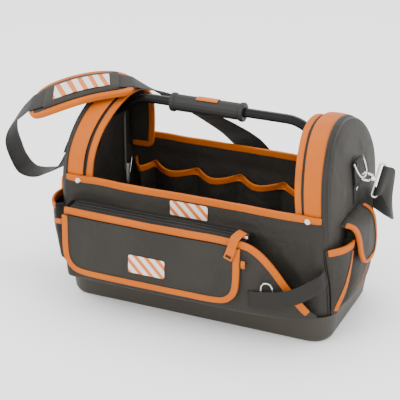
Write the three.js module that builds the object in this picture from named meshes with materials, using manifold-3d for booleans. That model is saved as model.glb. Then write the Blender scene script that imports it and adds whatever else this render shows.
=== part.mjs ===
// Open tool bag with a hard moulded base, in millimetres: X along the bag, Y front to back, Z up.
import * as THREE from "three";
import { mergeVertices } from "three/addons/utils/BufferGeometryUtils.js";
import Module from "manifold-3d";

const wasm = await Module();
wasm.setup();

// Driving sizes of the body and its moulded base.
const bodyLength = 477; // outside of the cloth just above the base
const bodyDepth = 229; // front to back just above the base
const topDepth = 250; // front to back at the open top
const trayHeight = 50;
const trayWall = 3;
const trayDraft = 7; // how far the floor edge stands in from the rim
const trayEdgeRadius = 9;
const frontHeight = 228;
const backHeight = 223;
const podHeight = 349; // top of the arched ends
const springHeight = 240; // where the arches start to curve
const endLean = 24; // how far the top of an end leans inwards
const baseCorner = 38; // corner radius in plan just above the base
const topCorner = 11; // and at the open top

// Driving sizes of the cloth, the tapes and the gaps between layers.
const clothWall = 3;
const liningWall = 2;
const tapeWall = 1;
const clothGap = 0.3;
const play = 0.5; // looser fit of a binding on a curved edge
const bindingWide = 10;

// Driving sizes of the arches' layers, counted inwards from the end of the bag.
const bandWide = 30;
const bandThick = 4.2;
const bandGap = 5;
const flangeStart = 8.5;
const flangeFoot = 195; // height of the flange's lower edge
const flangeCorner = 12;

// Driving sizes of the pockets.
const pocketDepth = 47.5; // front pocket, out from the bag just above the base
const pocketInset = 23.5; // from the bag's left end to the front pocket
const slantRun = 130.5; // from the bag's right end to where the mouth starts to slant
const pocketTop = 184;
const pocketFloor = 51.3;
const flapDrop = 112;
const flapCorner = 36;
const toolPocketTop = 175;
const toolPocketOut = 24;
const flapPocketOut = 26;
const flapPocketTop = 184;
const flapPocketHalf = 58;
const innerPocketTop = 172;
const innerPocketOut = 30;
const innerPocketPitch = 83;

// Driving sizes of the handle.
const tubeRadius = 8;
const handleDrop = 14; // its straight part, below the top of the arched ends
const handleHeight = podHeight - handleDrop;
const handleStraight = 242;
const handleShift = -4;
const handleBend = 62;
const handleFoot = springHeight - 10;
const gripLength = 131;
const gripCentre = -21.5;
const gripRadius = 14;

// Driving sizes of the shoulder strap and its fittings.
const strapWide = 50;
const strapThick = 2.2;
const padThick = 5;
const ringWire = 2; // radius of the wire in the rings
const ringWide = 43;
const ringDrop = 28;
const tabWide = 36;
const barRise = 43; // height of the bar that a tab holds, above where the arches start to curve
const barHeight = springHeight + barRise;

const cloth = new THREE.MeshStandardMaterial({ color: "#3a3835", roughness: 0.9 });
const orange = new THREE.MeshStandardMaterial({ color: "#ff8410", roughness: 0.7 });
const moulded = new THREE.MeshStandardMaterial({ color: "#4d483f", roughness: 0.6 });
const steel = new THREE.MeshStandardMaterial({ color: "#2b2c2b", roughness: 0.35, metalness: 0.6 });
const grip = new THREE.MeshStandardMaterial({ color: "#4a4c49", roughness: 0.55 });
const nickel = new THREE.MeshStandardMaterial({ color: "#c9c7c2", roughness: 0.25, metalness: 1 });
const patch = new THREE.MeshStandardMaterial({ color: "#efece4", roughness: 0.5 });

const bag = new THREE.Group();
const vec = (x, y, z) => new THREE.Vector3(x, y, z);
// Unit direction of a line of points at one of them.
const heading = (points, i) => {
  const before = points[Math.max(i - 1, 0)];
  return points[Math.min(i + 1, points.length - 1)].clone().sub(before).normalize();
};
const { lerp, smoothstep, degToRad } = THREE.MathUtils;
const count = (n) => [...Array(n).keys()];
const shares = (n) => count(n).map((i) => i / (n - 1));

function add(name, geometry, material) {
  const mesh = new THREE.Mesh(geometry, material);
  mesh.name = name;
  bag.add(mesh);
}

// Reads one column of a table at a value of another column, in a straight line between its rows.
function read(table, by, value, name) {
  const next = table.findIndex((row) => row[by] >= value);
  if (next < 0) return table.at(-1)[name];
  if (next === 0) return table[0][name];
  const before = table[next - 1];
  const after = table[next];
  return lerp(before[name], after[name], (value - before[by]) / (after[by] - before[by]));
}

// A closed body from its corners and its faces, turned so that the faces look outwards.
function body(points, faces) {
  const solid = faces.filter(([a, b, c]) => {
    const thin = (p, q) => points[p].distanceTo(points[q]) < 1e-3;
    return !thin(a, b) && !thin(b, c) && !thin(c, a);
  });
  const volume = solid.reduce((sum, [a, b, c]) => {
    return sum + points[a].dot(points[b].clone().cross(points[c]));
  }, 0);
  const turned = volume < 0 ? solid.map(([a, b, c]) => [a, c, b]) : solid;
  const geometry = new THREE.BufferGeometry().setFromPoints(points);
  geometry.setIndex(turned.flat());
  geometry.computeVertexNormals();
  return geometry;
}

const quad = (a, b, c, d) => [
  [a, b, c],
  [a, c, d],
];

// Skins a row of rings with the same number of points, closed by its end faces or by meeting itself. With
// matched set, opposite faces are split along the same diagonals, so that a thin twisted tape doesn't cross
// itself.
function loft(rings, meets = false, matched = false) {
  const size = rings[0].length;
  const at = (ring, k) => (ring % rings.length) * size + (k % size);
  const faces = [];
  const spans = meets ? rings.length : rings.length - 1;
  for (const ring of count(spans)) {
    for (const k of count(size)) {
      const around = [at(ring, k), at(ring, k + 1), at(ring + 1, k + 1), at(ring + 1, k)];
      if (matched && k >= size / 2) around.push(around.shift());
      faces.push(...quad(...around));
    }
  }
  if (!meets) {
    const last = rings.length - 1;
    for (const k of count(size / 2 - 1)) {
      faces.push(...quad(at(0, k + 1), at(0, k), at(0, size - 1 - k), at(0, size - 2 - k)));
      faces.push(...quad(at(last, k), at(last, k + 1), at(last, size - 2 - k), at(last, size - 1 - k)));
    }
  }
  return body(rings.flat(), faces);
}

// A wall between two grids, which are lists of rows. With welded set, the last column's edge is left open,
// because there the wall meets its own other half.
function wall(outer, inner, welded = false) {
  const rows = outer.length;
  const columns = outer[0].length;
  const out = (r, c) => r * columns + c;
  const back = (r, c) => rows * columns + r * columns + c;
  const faces = [];
  for (const r of count(rows - 1)) {
    for (const c of count(columns - 1)) {
      faces.push(...quad(out(r, c), out(r, c + 1), out(r + 1, c + 1), out(r + 1, c)));
      faces.push(...quad(back(r, c), back(r + 1, c), back(r + 1, c + 1), back(r, c + 1)));
    }
    faces.push(...quad(out(r, 0), out(r + 1, 0), back(r + 1, 0), back(r, 0)));
    if (!welded) {
      const c = columns - 1;
      faces.push(...quad(out(r, c), back(r, c), back(r + 1, c), out(r + 1, c)));
    }
  }
  for (const c of count(columns - 1)) {
    const r = rows - 1;
    faces.push(...quad(out(0, c), back(0, c), back(0, c + 1), out(0, c + 1)));
    faces.push(...quad(out(r, c), out(r, c + 1), back(r, c + 1), back(r, c)));
  }
  return body([...outer.flat(), ...inner.flat()], faces);
}

// The face normals at the points of a grid, on the side that looks along a given direction.
function normals(grid, side) {
  const found = grid.map((row, r) =>
    row.map((_, c) => {
      const down = grid[Math.min(r + 1, grid.length - 1)][c].clone().sub(grid[Math.max(r - 1, 0)][c]);
      const along = row[Math.min(c + 1, row.length - 1)].clone().sub(row[Math.max(c - 1, 0)]);
      return down.cross(along).normalize();
    }),
  );
  const looks = found.flat().reduce((sum, normal) => sum + normal.dot(side), 0);
  return found.map((row) => row.map((normal) => normal.multiplyScalar(Math.sign(looks))));
}

// A grid moved along its own normals, towards a given side.
function shifted(grid, side, distance) {
  const along = normals(grid, side);
  return grid.map((row, r) => row.map((point, c) => point.clone().addScaledVector(along[r][c], distance)));
}

const sheet = (grid, side, thick) => wall(grid, shifted(grid, side, thick));

// The folded tape that binds a cloth edge. A step of the path has the middle of the edge, the way out of
// the cloth and the cloth's normal.
function binding(path, clothThick, wide = bindingWide, meets = false) {
  const near = clothThick / 2 + clothGap;
  const far = near + tapeWall;
  const profile = [
    { out: clothGap - wide, up: far },
    { out: clothGap + tapeWall, up: far },
    { out: clothGap + tapeWall, up: -far },
    { out: clothGap - wide, up: -far },
    { out: clothGap - wide, up: -near },
    { out: clothGap, up: -near },
    { out: clothGap, up: near },
    { out: clothGap - wide, up: near },
  ];
  const rings = path.map((step) =>
    profile.map(({ out, up }) =>
      step.at.clone().addScaledVector(step.out, out).addScaledVector(step.normal, up),
    ),
  );
  return loft(rings, meets);
}

// Steps for binding one edge of a grid. edge and face hold the edge's points and the face normals there, and
// outwards is a direction that leaves the cloth.
function edgeSteps(edge, face, outwards) {
  return edge.map((at, i) => {
    const along = edge[Math.min(i + 1, edge.length - 1)].clone().sub(edge[Math.max(i - 1, 0)]).normalize();
    const out = along.cross(face[i]).normalize();
    if (out.dot(outwards) < 0) out.negate();
    return { at, out, normal: face[i] };
  });
}

// A flat tape along a path, standing up from the path's points along each step's normal.
function tape(path, wide, thick) {
  const corners = [
    { across: -0.5, up: 0 },
    { across: -0.5, up: 1 },
    { across: 0.5, up: 1 },
    { across: 0.5, up: 0 },
  ];
  const rings = path.map((step) =>
    corners.map(({ across, up }) =>
      step.at.clone().addScaledVector(step.across, across * wide).addScaledVector(step.normal, up * thick),
    ),
  );
  return loft(rings, false, true);
}

// A round bar along a flat path. halves gives each step's half size in the path's plane and across it.
function bar(path, planeNormal, halves, sides, meets = false) {
  const rings = path.map((point, i) => {
    const last = path.length - 1;
    const ahead = path[meets ? (i + 1) % path.length : Math.min(i + 1, last)];
    const behind = path[meets ? (i + last) % path.length : Math.max(i - 1, 0)];
    const side = ahead.clone().sub(behind).normalize().cross(planeNormal);
    const half = halves(point);
    return count(sides).map((k) => {
      const turn = (2 * Math.PI * (k + 0.5)) / sides;
      return point
        .clone()
        .addScaledVector(side, half.inPlane * Math.cos(turn))
        .addScaledVector(planeNormal, half.across * Math.sin(turn));
    });
  });
  return loft(rings, meets);
}

const round = (radius) => () => ({ inPlane: radius, across: radius });

// Joins closed geometries into one solid.
function fuse(geometries) {
  const solids = geometries.map((geometry) => {
    const plain = geometry.clone();
    plain.deleteAttribute("normal");
    plain.deleteAttribute("uv");
    const merged = mergeVertices(plain, 1e-4);
    const mesh = new wasm.Mesh({
      numProp: 3,
      vertProperties: new Float32Array(merged.attributes.position.array),
      triVerts: new Uint32Array(merged.index.array),
    });
    return new wasm.Manifold(mesh);
  });
  const mesh = solids.reduce((joined, solid) => joined.add(solid)).getMesh();
  const geometry = new THREE.BufferGeometry();
  geometry.setAttribute("position", new THREE.BufferAttribute(mesh.vertProperties, 3));
  geometry.setIndex(new THREE.BufferAttribute(mesh.triVerts, 1));
  geometry.computeVertexNormals();
  return geometry;
}

// Shape of the body. Its plan at each height is a rounded rectangle, whose corners tighten towards the top.
const seatTuck = 1.8; // how far the cloth's hidden foot tucks into the base
const seatFoot = 40;
const leanPower = 5;
const seamTurn = degToRad(58); // where the corner seam lies round the corner, just above the base
const seamRise = 140; // the stretch below the top in which the seam comes round to the front

// The walls flare outwards up to the last of these levels, and stand upright above it.
const levelShares = [0, 0.22, 0.4, 0.55, 0.7, 0.87];
const lowTop = Math.min(frontHeight, backHeight);
const flareLevels = levelShares.map((share) => lerp(trayHeight + 1, lowTop, share));
const wallLevels = [seatFoot, ...flareLevels, lowTop, Math.max(frontHeight, backHeight)];
const flareTop = flareLevels.at(-1);

const tuck = (z) => seatTuck * Math.max(0, (trayHeight - z) / (trayHeight - seatFoot));
const endX = (z) => bodyLength / 2 - endLean * Math.max(0, z / podHeight) ** leanPower - tuck(z);
const flare = (z) => Math.min(1, Math.max(0, (z - trayHeight) / (flareTop - trayHeight)));
const halfDepth = (z) => lerp(bodyDepth, topDepth, flare(z)) / 2 - tuck(z);
const corner = (z) => lerp(baseCorner, topCorner, flare(z));
const seamAt = (z) => seamTurn * smoothstep(frontHeight - z, 0, seamRise);

// The padded middle of an end stands proud of a groove that runs inside its rim.
const endRelief = [
  { in: 0, rise: 0 },
  { in: 7, rise: -0.8 },
  { in: 13, rise: 2.4 },
  { in: 60, rise: 3.4 },
  { in: 130, rise: 3.6 },
];
const middleIn = endRelief.at(-1).in;
const reliefFade = (z) => Math.min(1, Math.max(0, (z - flareLevels[0]) / (flareLevels[1] - flareLevels[0])));
const endRise = (z, inwards) => read(endRelief, "in", inwards, "rise") * reliefFade(z);

// A point on the front right quarter of the body: along is counted round the corner from where the flat
// end starts, so it is negative on the corner and on the front.
function bodyPoint(z, along, out) {
  const radius = corner(z);
  const arc = (radius * Math.PI) / 2;
  const x = endX(z);
  const y = -halfDepth(z);
  if (along >= 0) return vec(x + out, y + radius + along, z);
  if (along <= -arc) return vec(x - radius + along + arc, y - out, z);
  const turn = (along + arc) / radius;
  return vec(x - radius + (radius + out) * Math.sin(turn), y + radius - (radius + out) * Math.cos(turn), z);
}
const seamAlong = (z) => -corner(z) * (Math.PI / 2 - seamAt(z));

// Base: a moulded pan with a drafted wall, a rounded lower edge and its cloth standing inside the rim.
const traySides = 40;
const rimGap = 0.4;

function trayRing(z, halfLength, halfWidth, radius) {
  const perCorner = traySides / 4;
  return count(traySides).map((k) => {
    const quarter = Math.floor(k / perCorner);
    const turn = ((quarter + (k % perCorner) / (perCorner - 1)) * Math.PI) / 2;
    const sx = quarter === 0 || quarter === 3 ? 1 : -1;
    const sy = quarter < 2 ? 1 : -1;
    return vec(
      sx * (halfLength - radius) + radius * Math.cos(turn),
      sy * (halfWidth - radius) + radius * Math.sin(turn),
      z,
    );
  });
}

function buildTray() {
  const reach = rimGap + trayWall;
  const steps = [
    { z: 0, in: trayDraft + trayEdgeRadius, skin: 0 },
    { z: trayEdgeRadius * 0.13, in: trayDraft + trayEdgeRadius * 0.5, skin: 0 },
    { z: trayEdgeRadius * 0.5, in: trayDraft + trayEdgeRadius * 0.13, skin: 0 },
    { z: trayEdgeRadius, in: trayDraft - 1, skin: 0 },
    { z: trayHeight, in: 0, skin: 0 },
    { z: trayHeight, in: 0, skin: 1 },
    { z: trayEdgeRadius + trayWall, in: trayDraft - 1, skin: 1 },
    { z: trayWall, in: trayDraft + trayEdgeRadius, skin: 1 },
  ];
  const rings = steps.map(({ z, in: inwards, skin }) => {
    const set = reach - inwards - skin * trayWall;
    const radius = Math.max(6, baseCorner + set);
    return trayRing(z, bodyLength / 2 + set, bodyDepth / 2 + set, radius);
  });
  add("base_tray", loft(rings), moulded);
}

// Front and back panels, from corner seam to corner seam.
const seamGap = 0.5;
function panelGrid(height, depthSign, out) {
  return wallLevels.filter((z) => z <= height).map((z) => {
    const edge = seamAlong(z) - seamGap;
    const arcStart = (-corner(z) * Math.PI) / 2;
    const half = shares(7).map((share) => {
      const along = share < 0.3 ? lerp(edge, Math.min(edge, arcStart), share / 0.3) : 0;
      if (share < 0.3) return bodyPoint(z, along, out);
      const start = bodyPoint(z, Math.min(edge, arcStart), out);
      return vec(lerp(start.x, 0, (share - 0.3) / 0.7), start.y, z);
    });
    const right = half.map((p) => vec(p.x, p.y * depthSign, p.z));
    const left = half.slice(0, -1).map((p) => vec(-p.x, p.y * depthSign, p.z));
    return [...left, ...right.reverse()];
  });
}

function buildPanel(name, height, depthSign) {
  add(name, wall(panelGrid(height, depthSign, 0), panelGrid(height, depthSign, -clothWall)), cloth);
  const reach = endX(height) - corner(height) - 1;
  const path = shares(5).map((share) => ({
    at: vec(lerp(-reach, reach, share), -depthSign * (halfDepth(height) - clothWall / 2), height),
    out: vec(0, 0, 1),
    normal: vec(0, -depthSign, 0),
  }));
  add(name.replace("panel", "top_binding"), binding(path, clothWall), orange);
}

// Stations round an end, from its front foot over the arch to its back foot. ny and nz point out of the edge.
const archSteps = 12;

function podStations(frontLevels, backLevels) {
  const straight = (z, sign) => ({ y: sign * halfDepth(z), z, ny: sign, nz: 0 });
  const rise = podHeight - springHeight;
  const deep = topDepth / 2;
  const arch = count(archSteps + 1).map((i) => {
    const turn = (Math.PI * i) / archSteps;
    const normal = vec(0, -Math.cos(turn) / deep, Math.sin(turn) / rise).normalize();
    return { y: -deep * Math.cos(turn), z: springHeight + rise * Math.sin(turn), ny: normal.y, nz: normal.z };
  });
  return [
    ...frontLevels.map((z) => straight(z, -1)),
    ...arch,
    ...[...backLevels].reverse().map((z) => straight(z, 1)),
  ];
}

// A point by a station: inset from the edge, inwards from the end of the bag at the station's height.
function podPoint(side, station, inset, inwards) {
  const x = side * (endX(station.z) - inwards);
  return vec(x, station.y - station.ny * inset, station.z - station.nz * inset);
}

// End shell: a padded arched panel whose edge turns the corner into a narrow rim.
function buildEnd(side, word) {
  const stations = podStations(wallLevels, wallLevels);
  const cornerSteps = 2;
  const reliefShares = [0.075, 0.14, 0.5, 1];
  const skin = (out) =>
    stations.map((station) => {
      const radius = corner(station.z);
      const seam = Math.max(seamAt(station.z), 0);
      const rim = count(cornerSteps + 1).map((k) => {
        const turn = lerp(seam, Math.PI / 2, k / cornerSteps);
        const inset = radius - (radius - out) * Math.cos(turn);
        const point = podPoint(side, station, inset, 0);
        return point.setX(side * (endX(point.z) - radius + (radius - out) * Math.sin(turn)));
      });
      const edge = rim.at(-1);
      const spine = vec(0, 0, Math.min(station.z, springHeight));
      const face = reliefShares.map((share) => {
        const y = lerp(edge.y, spine.y, share);
        const z = lerp(edge.z, spine.z, share);
        return vec(side * (endX(z) - out + endRise(z, share * middleIn)), y, z);
      });
      return [...rim, ...face];
    });
  add("end_shell_" + word, wall(skin(0), skin(clothWall), true), cloth);
}

// Flange: the gusset inside each arch, its bound inner edge, and the padded band that lies on it.
const flangeInset = 2 * (clothGap + tapeWall) + clothWall + clothGap + 0.1;
const rimWide = topCorner;
const flangeWide = rimWide + bandWide + bandGap + bindingWide;
const flangeTurns = [0, 30, 60, 90].map(degToRad);

function buildFlange(side, word) {
  const levels = flangeTurns.map((turn) => flangeFoot + flangeCorner * (1 - Math.cos(turn)));
  const upright = (station) => ({ ...station, y: Math.sign(station.ny) * (topDepth / 2) });
  const stations = podStations([], []);
  stations.unshift(...levels.map((z) => upright({ z, ny: -1, nz: 0 })));
  stations.push(...levels.map((z) => upright({ z, ny: 1, nz: 0 })).reverse());
  const skin = (inset) =>
    stations.map((station) => {
      const short = Math.max(0, flangeFoot + flangeCorner - station.z);
      const cut = flangeCorner - Math.sqrt(flangeCorner ** 2 - short ** 2);
      return [flangeStart, flangeWide - cut].map((inwards) => podPoint(side, station, inset, inwards));
    });
  add("flange_" + word, wall(skin(flangeInset), skin(flangeInset + liningWall)), cloth);

  const middle = flangeInset + liningWall / 2;
  const inwards = vec(-side, 0, 0);
  const foot = (sign) => {
    const level = (z) => upright({ z, ny: sign, nz: 0 });
    const step = (z, x, out) => ({ at: podPoint(side, level(z), middle, x), out, normal: vec(0, sign, 0) });
    const down = vec(0, 0, -1);
    const turns = flangeTurns.slice(1).map((turn) => {
      const out = down.clone().multiplyScalar(Math.cos(turn)).addScaledVector(inwards, Math.sin(turn));
      const z = flangeFoot + flangeCorner * (1 - Math.cos(turn));
      return step(z, flangeWide - flangeCorner * (1 - Math.sin(turn)), out);
    });
    const start = step(flangeFoot, rimWide + 4, down);
    return [start, step(flangeFoot, flangeWide - flangeCorner, down), ...turns];
  };
  const over = podStations([springHeight - 20], [springHeight - 20]).map((station) => ({
    at: podPoint(side, station, middle, flangeWide),
    out: inwards,
    normal: vec(0, station.ny, station.nz),
  }));
  add("flange_binding_" + word, binding([...foot(-1), ...over, ...foot(1).reverse()], liningWall), orange);
}

// The band ends on the two top bindings. Past the top of the arch its outer edge stands off a little.
const bandLift = [
  { share: 0, lift: 0 },
  { share: 0.5, lift: 0 },
  { share: 0.6, lift: 2.2 },
  { share: 0.72, lift: 0 },
  { share: 1, lift: 0 },
];

function buildBand(side, word) {
  const seat = clothGap + tapeWall + clothGap;
  const stations = podStations([frontHeight + seat], [backHeight + seat]);
  const path = stations.map((station, i) => {
    const lift = read(bandLift, "share", i / (stations.length - 1), "lift");
    const at = podPoint(side, station, flangeInset - clothGap - lift, rimWide + 0.6 + bandWide / 2);
    return { at, across: vec(side, 0, 0), normal: vec(0, station.ny, station.nz) };
  });
  add("band_" + word, tape(path, bandWide, bandThick), orange);
}

// Row of inner pockets on the back panel: each bulges forward between two stitched lines.
const pocketSteps = 4;
const pocketDip = 5; // how far a mouth sags between its stitched lines
const pocketStitch = [-175, -92, -9, 74, 157].map((x) => x * (innerPocketPitch / 83));
const innerLevels = [
  { z: 1, bulge: 1 },
  { z: 0.7, bulge: 0.96 },
  { z: 0.35, bulge: 0.7 },
  { z: 0, bulge: 0.1 },
];

function buildInnerPockets() {
  const floor = trayHeight + 12;
  const reach = (z) => endX(z) - corner(z) - 2 * clothWall;
  const columns = count(pocketStitch.length + 1).flatMap((pocket) =>
    count(pocketSteps).map((k) => ({ pocket, share: k / pocketSteps })),
  );
  columns.push({ pocket: pocketStitch.length, share: 1 });
  const grid = innerLevels.map((level) =>
    columns.map(({ pocket, share }) => {
      const swell = Math.sin(Math.PI * share);
      const z = lerp(floor, innerPocketTop - pocketDip * swell, level.z);
      const x = lerp(pocketStitch[pocket - 1] ?? -reach(z), pocketStitch[pocket] ?? reach(z), share);
      const back = halfDepth(z) - clothWall - clothGap - 2 * clothGap - tapeWall;
      return vec(x, back - liningWall / 2 - innerPocketOut * level.bulge * swell, z);
    }),
  );
  const forward = vec(0, -1, 0);
  const front = shifted(grid, forward, liningWall / 2);
  const behind = shifted(grid, forward, -liningWall / 2);
  add("inner_pocket_row", wall(front, behind), cloth);
  const path = grid[0].map((at, c) => ({
    at,
    out: at.clone().sub(grid[1][c]).normalize(),
    normal: normals(grid, forward)[0][c],
  }));
  add("inner_pocket_binding", binding(path, liningWall), orange);
}

// Front pocket: one panel that turns forward at its left, runs along the front and falls away to the right
// as a slanting mouth. out is the share of the pocket's full depth.
const pocketLeft = pocketInset - bodyLength / 2;
const pocketRight = bodyLength / 2 - slantRun;
const pocketPlan = [
  { x: pocketLeft, out: 0, top: pocketTop },
  { x: pocketLeft, out: 0.45, top: pocketTop },
  { x: pocketLeft + 1, out: 0.86, top: pocketTop },
  { x: pocketLeft + 6, out: 0.97, top: pocketTop },
  { x: pocketLeft + 14, out: 1, top: pocketTop },
  { x: lerp(pocketLeft, pocketRight, 0.26), out: 1.02, top: pocketTop },
  { x: lerp(pocketLeft, pocketRight, 0.51), out: 1.03, top: pocketTop },
  { x: lerp(pocketLeft, pocketRight, 0.76), out: 1.02, top: pocketTop },
  { x: pocketRight, out: 1, top: pocketTop },
  { x: pocketRight + 17, out: 0.97, top: pocketTop - 4 },
  { x: pocketRight + 37, out: 0.9, top: pocketTop - 20 },
  { x: pocketRight + 54, out: 0.82, top: pocketTop - 41 },
  { x: pocketRight + 70, out: 0.71, top: pocketTop - 66 },
  { x: pocketRight + 88, out: 0.52, top: pocketTop - 95 },
  { x: pocketRight + 103, out: 0.31, top: pocketTop - 116 },
  { x: pocketRight + 113, out: 0.12, top: pocketTop - 125 },
];
const pocketLevels = [
  { share: 1, out: 1 },
  { share: 0.7, out: 1 },
  { share: 0.4, out: 1 },
  { share: 0.14, out: 0.99 },
  { share: 0.045, out: 0.9 },
  { share: 0.008, out: 0.74 },
  { share: 0, out: 0.05 },
];
const pocketFace = -(bodyDepth / 2 + pocketDepth);
const sideGap = 0.4;

function pocketPoint(plan, share, out) {
  const z = lerp(pocketFloor, plan.top, share);
  const panel = -(halfDepth(z) + sideGap);
  return vec(plan.x, lerp(panel, pocketFace, plan.out * out), z);
}
const pocketY = (x, z) => {
  const out = read(pocketPlan.slice(4), "x", x, "out");
  return lerp(-(halfDepth(z) + sideGap), pocketFace, out);
};

// The zip closes the pocket's top, and falls a little from the bag towards the pocket's front.
const zipInset = liningWall + 2 * clothGap + tapeWall;
const zipRise = 3; // its height above the pocket's edge at the back
const zipSink = 1; // and below it at the front
const zipBack = -(halfDepth(pocketTop + zipRise) + sideGap);
const zipFront = (x) => pocketY(x, pocketTop) + zipInset + clothGap + play;
function zipHeight(x, y) {
  return lerp(pocketTop + zipRise, pocketTop - zipSink, (y - zipBack) / (zipFront(x) - zipBack));
}

function buildFrontPocket() {
  const grid = pocketLevels.map((level) =>
    pocketPlan.map((plan) => pocketPoint(plan, level.share, level.out)),
  );
  const backward = vec(0, 1, 0);
  add("front_pocket", sheet(grid, backward, liningWall), cloth);

  const edge = shifted(grid, backward, liningWall / 2)[0].slice(3, -1);
  const face = normals(grid, backward)[0].slice(3, -1);
  add("front_pocket_binding", binding(edgeSteps(edge, face, vec(0, 0, 1)), liningWall + 2 * play), orange);

  const zipGrid = shares(3).map((share) =>
    shares(5).map((along) => {
      const x = lerp(pocketLeft + 3 * zipInset, pocketRight + 2, along);
      const y = lerp(zipBack, zipFront(x), share);
      return vec(x, y, zipHeight(x, y));
    }),
  );
  add("zip_tape", sheet(zipGrid, vec(0, 0, -1), liningWall), cloth);
}

// Zip slider on the tape, and the flat pull that hangs from it over the flap.
const sliderLong = 14;
const sliderWide = 10;
const sliderThick = 5;
const sliderBevel = 3;
const pullWide = 15;
const pullThick = 2;

function buildZip() {
  const sliderX = pocketRight - 2;
  const sliderY = pocketFace + 14;
  const long = sliderLong / 2;
  const wide = sliderWide / 2;
  const seat = zipHeight(sliderX, sliderY + wide) + clothGap;
  const side = wide - sliderBevel / 2;
  const end = long - sliderBevel;
  const outline = new THREE.Shape(
    [
      [long, -side],
      [long, side],
      [end, wide],
      [-end, wide],
      [-long, side],
      [-long, -side],
      [-end, -wide],
      [end, -wide],
    ].map(([x, y]) => new THREE.Vector2(x, y)),
  );
  const plate = new THREE.ExtrudeGeometry(outline, { depth: sliderThick, bevelEnabled: false, steps: 1 });
  plate.translate(sliderX, sliderY, seat);
  add("zip_slider", plate, nickel);

  const hang = [
    { x: -3, y: 2, z: 8.2 },
    { x: -6, y: -8, z: 7 },
    { x: -9, y: -17, z: 3.5 },
    { x: -11, y: -21.5, z: -5 },
    { x: -14, y: -22.6, z: -17 },
    { x: -19, y: -22.6, z: -31 },
  ];
  const points = hang.map(({ x, y, z }) => vec(sliderX + x, sliderY + y, seat + z));
  const across = vec(1, 0, -0.35).normalize();
  const path = points.map((at, i) => {
    const along = heading(points, i);
    return { at, across, normal: along.clone().cross(across).normalize() };
  });
  add("zip_pull", tape(path, pullWide, pullThick), orange);
}

// Flap of the front pocket, with its bound edge.
const flapWall = 2.2;
const flapStand = clothGap + tapeWall + clothGap; // room for the binding behind the flap
const flapLift = 3; // how far the lower edge stands off
const flapLeft = pocketLeft + 4;
const flapRight = pocketRight - 3;

function flapY(x, z) {
  const lift = flapLift * smoothstep(pocketTop - z, 30, flapDrop);
  return pocketY(x, z) - flapStand - lift;
}

function buildFlap() {
  const top = pocketTop - bindingWide - tapeWall;
  const bottom = pocketTop - flapDrop;
  const turns = [1, 2 / 3, 1 / 3, 0].map((share) => (share * Math.PI) / 2);
  const rows = [
    { z: top, cut: 0 },
    { z: lerp(top, bottom + flapCorner, 0.5), cut: 0 },
    ...turns.map((turn) => ({
      z: bottom + flapCorner * (1 - Math.sin(Math.PI / 2 - turn)),
      cut: flapCorner * (1 - Math.cos(Math.PI / 2 - turn)),
    })),
  ];
  const grid = rows.map(({ z, cut }) =>
    shares(9).map((share) => {
      const x = lerp(flapLeft + cut, flapRight - cut, share);
      return vec(x, flapY(x, z), z);
    }),
  );
  add("front_flap", sheet(grid, vec(0, -1, 0), flapWall), cloth);

  const side = rows.map(({ z, cut }, i) => ({ z, cut, turn: i < 2 ? 0 : turns.length - (rows.length - i) }));
  const half = side.map(({ z, cut, turn }) => ({ z, cut, angle: (turn * Math.PI) / 2 / (turns.length - 1) }));
  const edge = (sign) =>
    half.map(({ z, cut, angle }) => {
      const x = sign > 0 ? flapRight - cut : flapLeft + cut;
      return {
        at: vec(x, flapY(x, z) - flapWall / 2, z),
        out: vec(sign * Math.cos(angle), 0, -Math.sin(angle)),
        normal: vec(0, -1, 0),
      };
    });
  const middle = shares(5)
    .slice(1, -1)
    .map((share) => {
      const x = lerp(flapLeft + flapCorner, flapRight - flapCorner, share);
      const at = vec(x, flapY(x, bottom) - flapWall / 2, bottom);
      return { at, out: vec(0, 0, -1), normal: vec(0, -1, 0) };
    });
  add("flap_binding", binding([...edge(-1), ...middle, ...edge(1).reverse()], flapWall), orange);
}

// Webbing sling beside the flap, from the pocket's fold to the bag's corner, with a bent wire ring.
const slingWide = 29;
const slingThick = 2;
const slingEnd = 130; // height at which it is sewn into the corner seam
const slingRoute = [
  { x: pocketRight + 12, stand: 0.8, z: 87 },
  { x: pocketRight + 24, stand: 3.2, z: 88.5 },
  { x: pocketRight + 45, stand: 9, z: 93 },
  { x: pocketRight + 70, stand: 15, z: 99 },
  { x: pocketRight + 92, stand: 17, z: 107 },
  { x: pocketRight + 110, stand: 12, z: 116 },
  { x: pocketRight + 121, stand: 4, z: 124 },
];

function buildSling() {
  const points = slingRoute.map(({ x, stand, z }) => vec(x, pocketY(x, z) - stand, z));
  const anchor = bodyPoint(slingEnd, seamAlong(slingEnd) - 3, slingThick + 2 * clothGap);
  points.push(anchor);
  const path = points.map((at, i) => {
    const along = heading(points, i);
    const across = vec(0, 0, 1).addScaledVector(along, -along.z).normalize();
    return { at, across, normal: along.cross(across).normalize() };
  });
  add("side_sling", tape(path, slingWide, slingThick), cloth);

  const centre = vec(pocketRight + 42, 0, 105);
  centre.y = pocketY(centre.x - 8, centre.z) - 3.2;
  const loop = count(12).map((i) => {
    const turn = (2 * Math.PI * i) / 12;
    const squareness = 1 / Math.max(Math.abs(Math.cos(turn)), Math.abs(Math.sin(turn))) ** 0.5;
    return centre.clone().add(vec(10 * squareness * Math.cos(turn), 0, 15 * squareness * Math.sin(turn)));
  });
  add("tape_ring", bar(loop, vec(0, 1, 0), round(1.4), 6, true), nickel);
}

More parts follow.
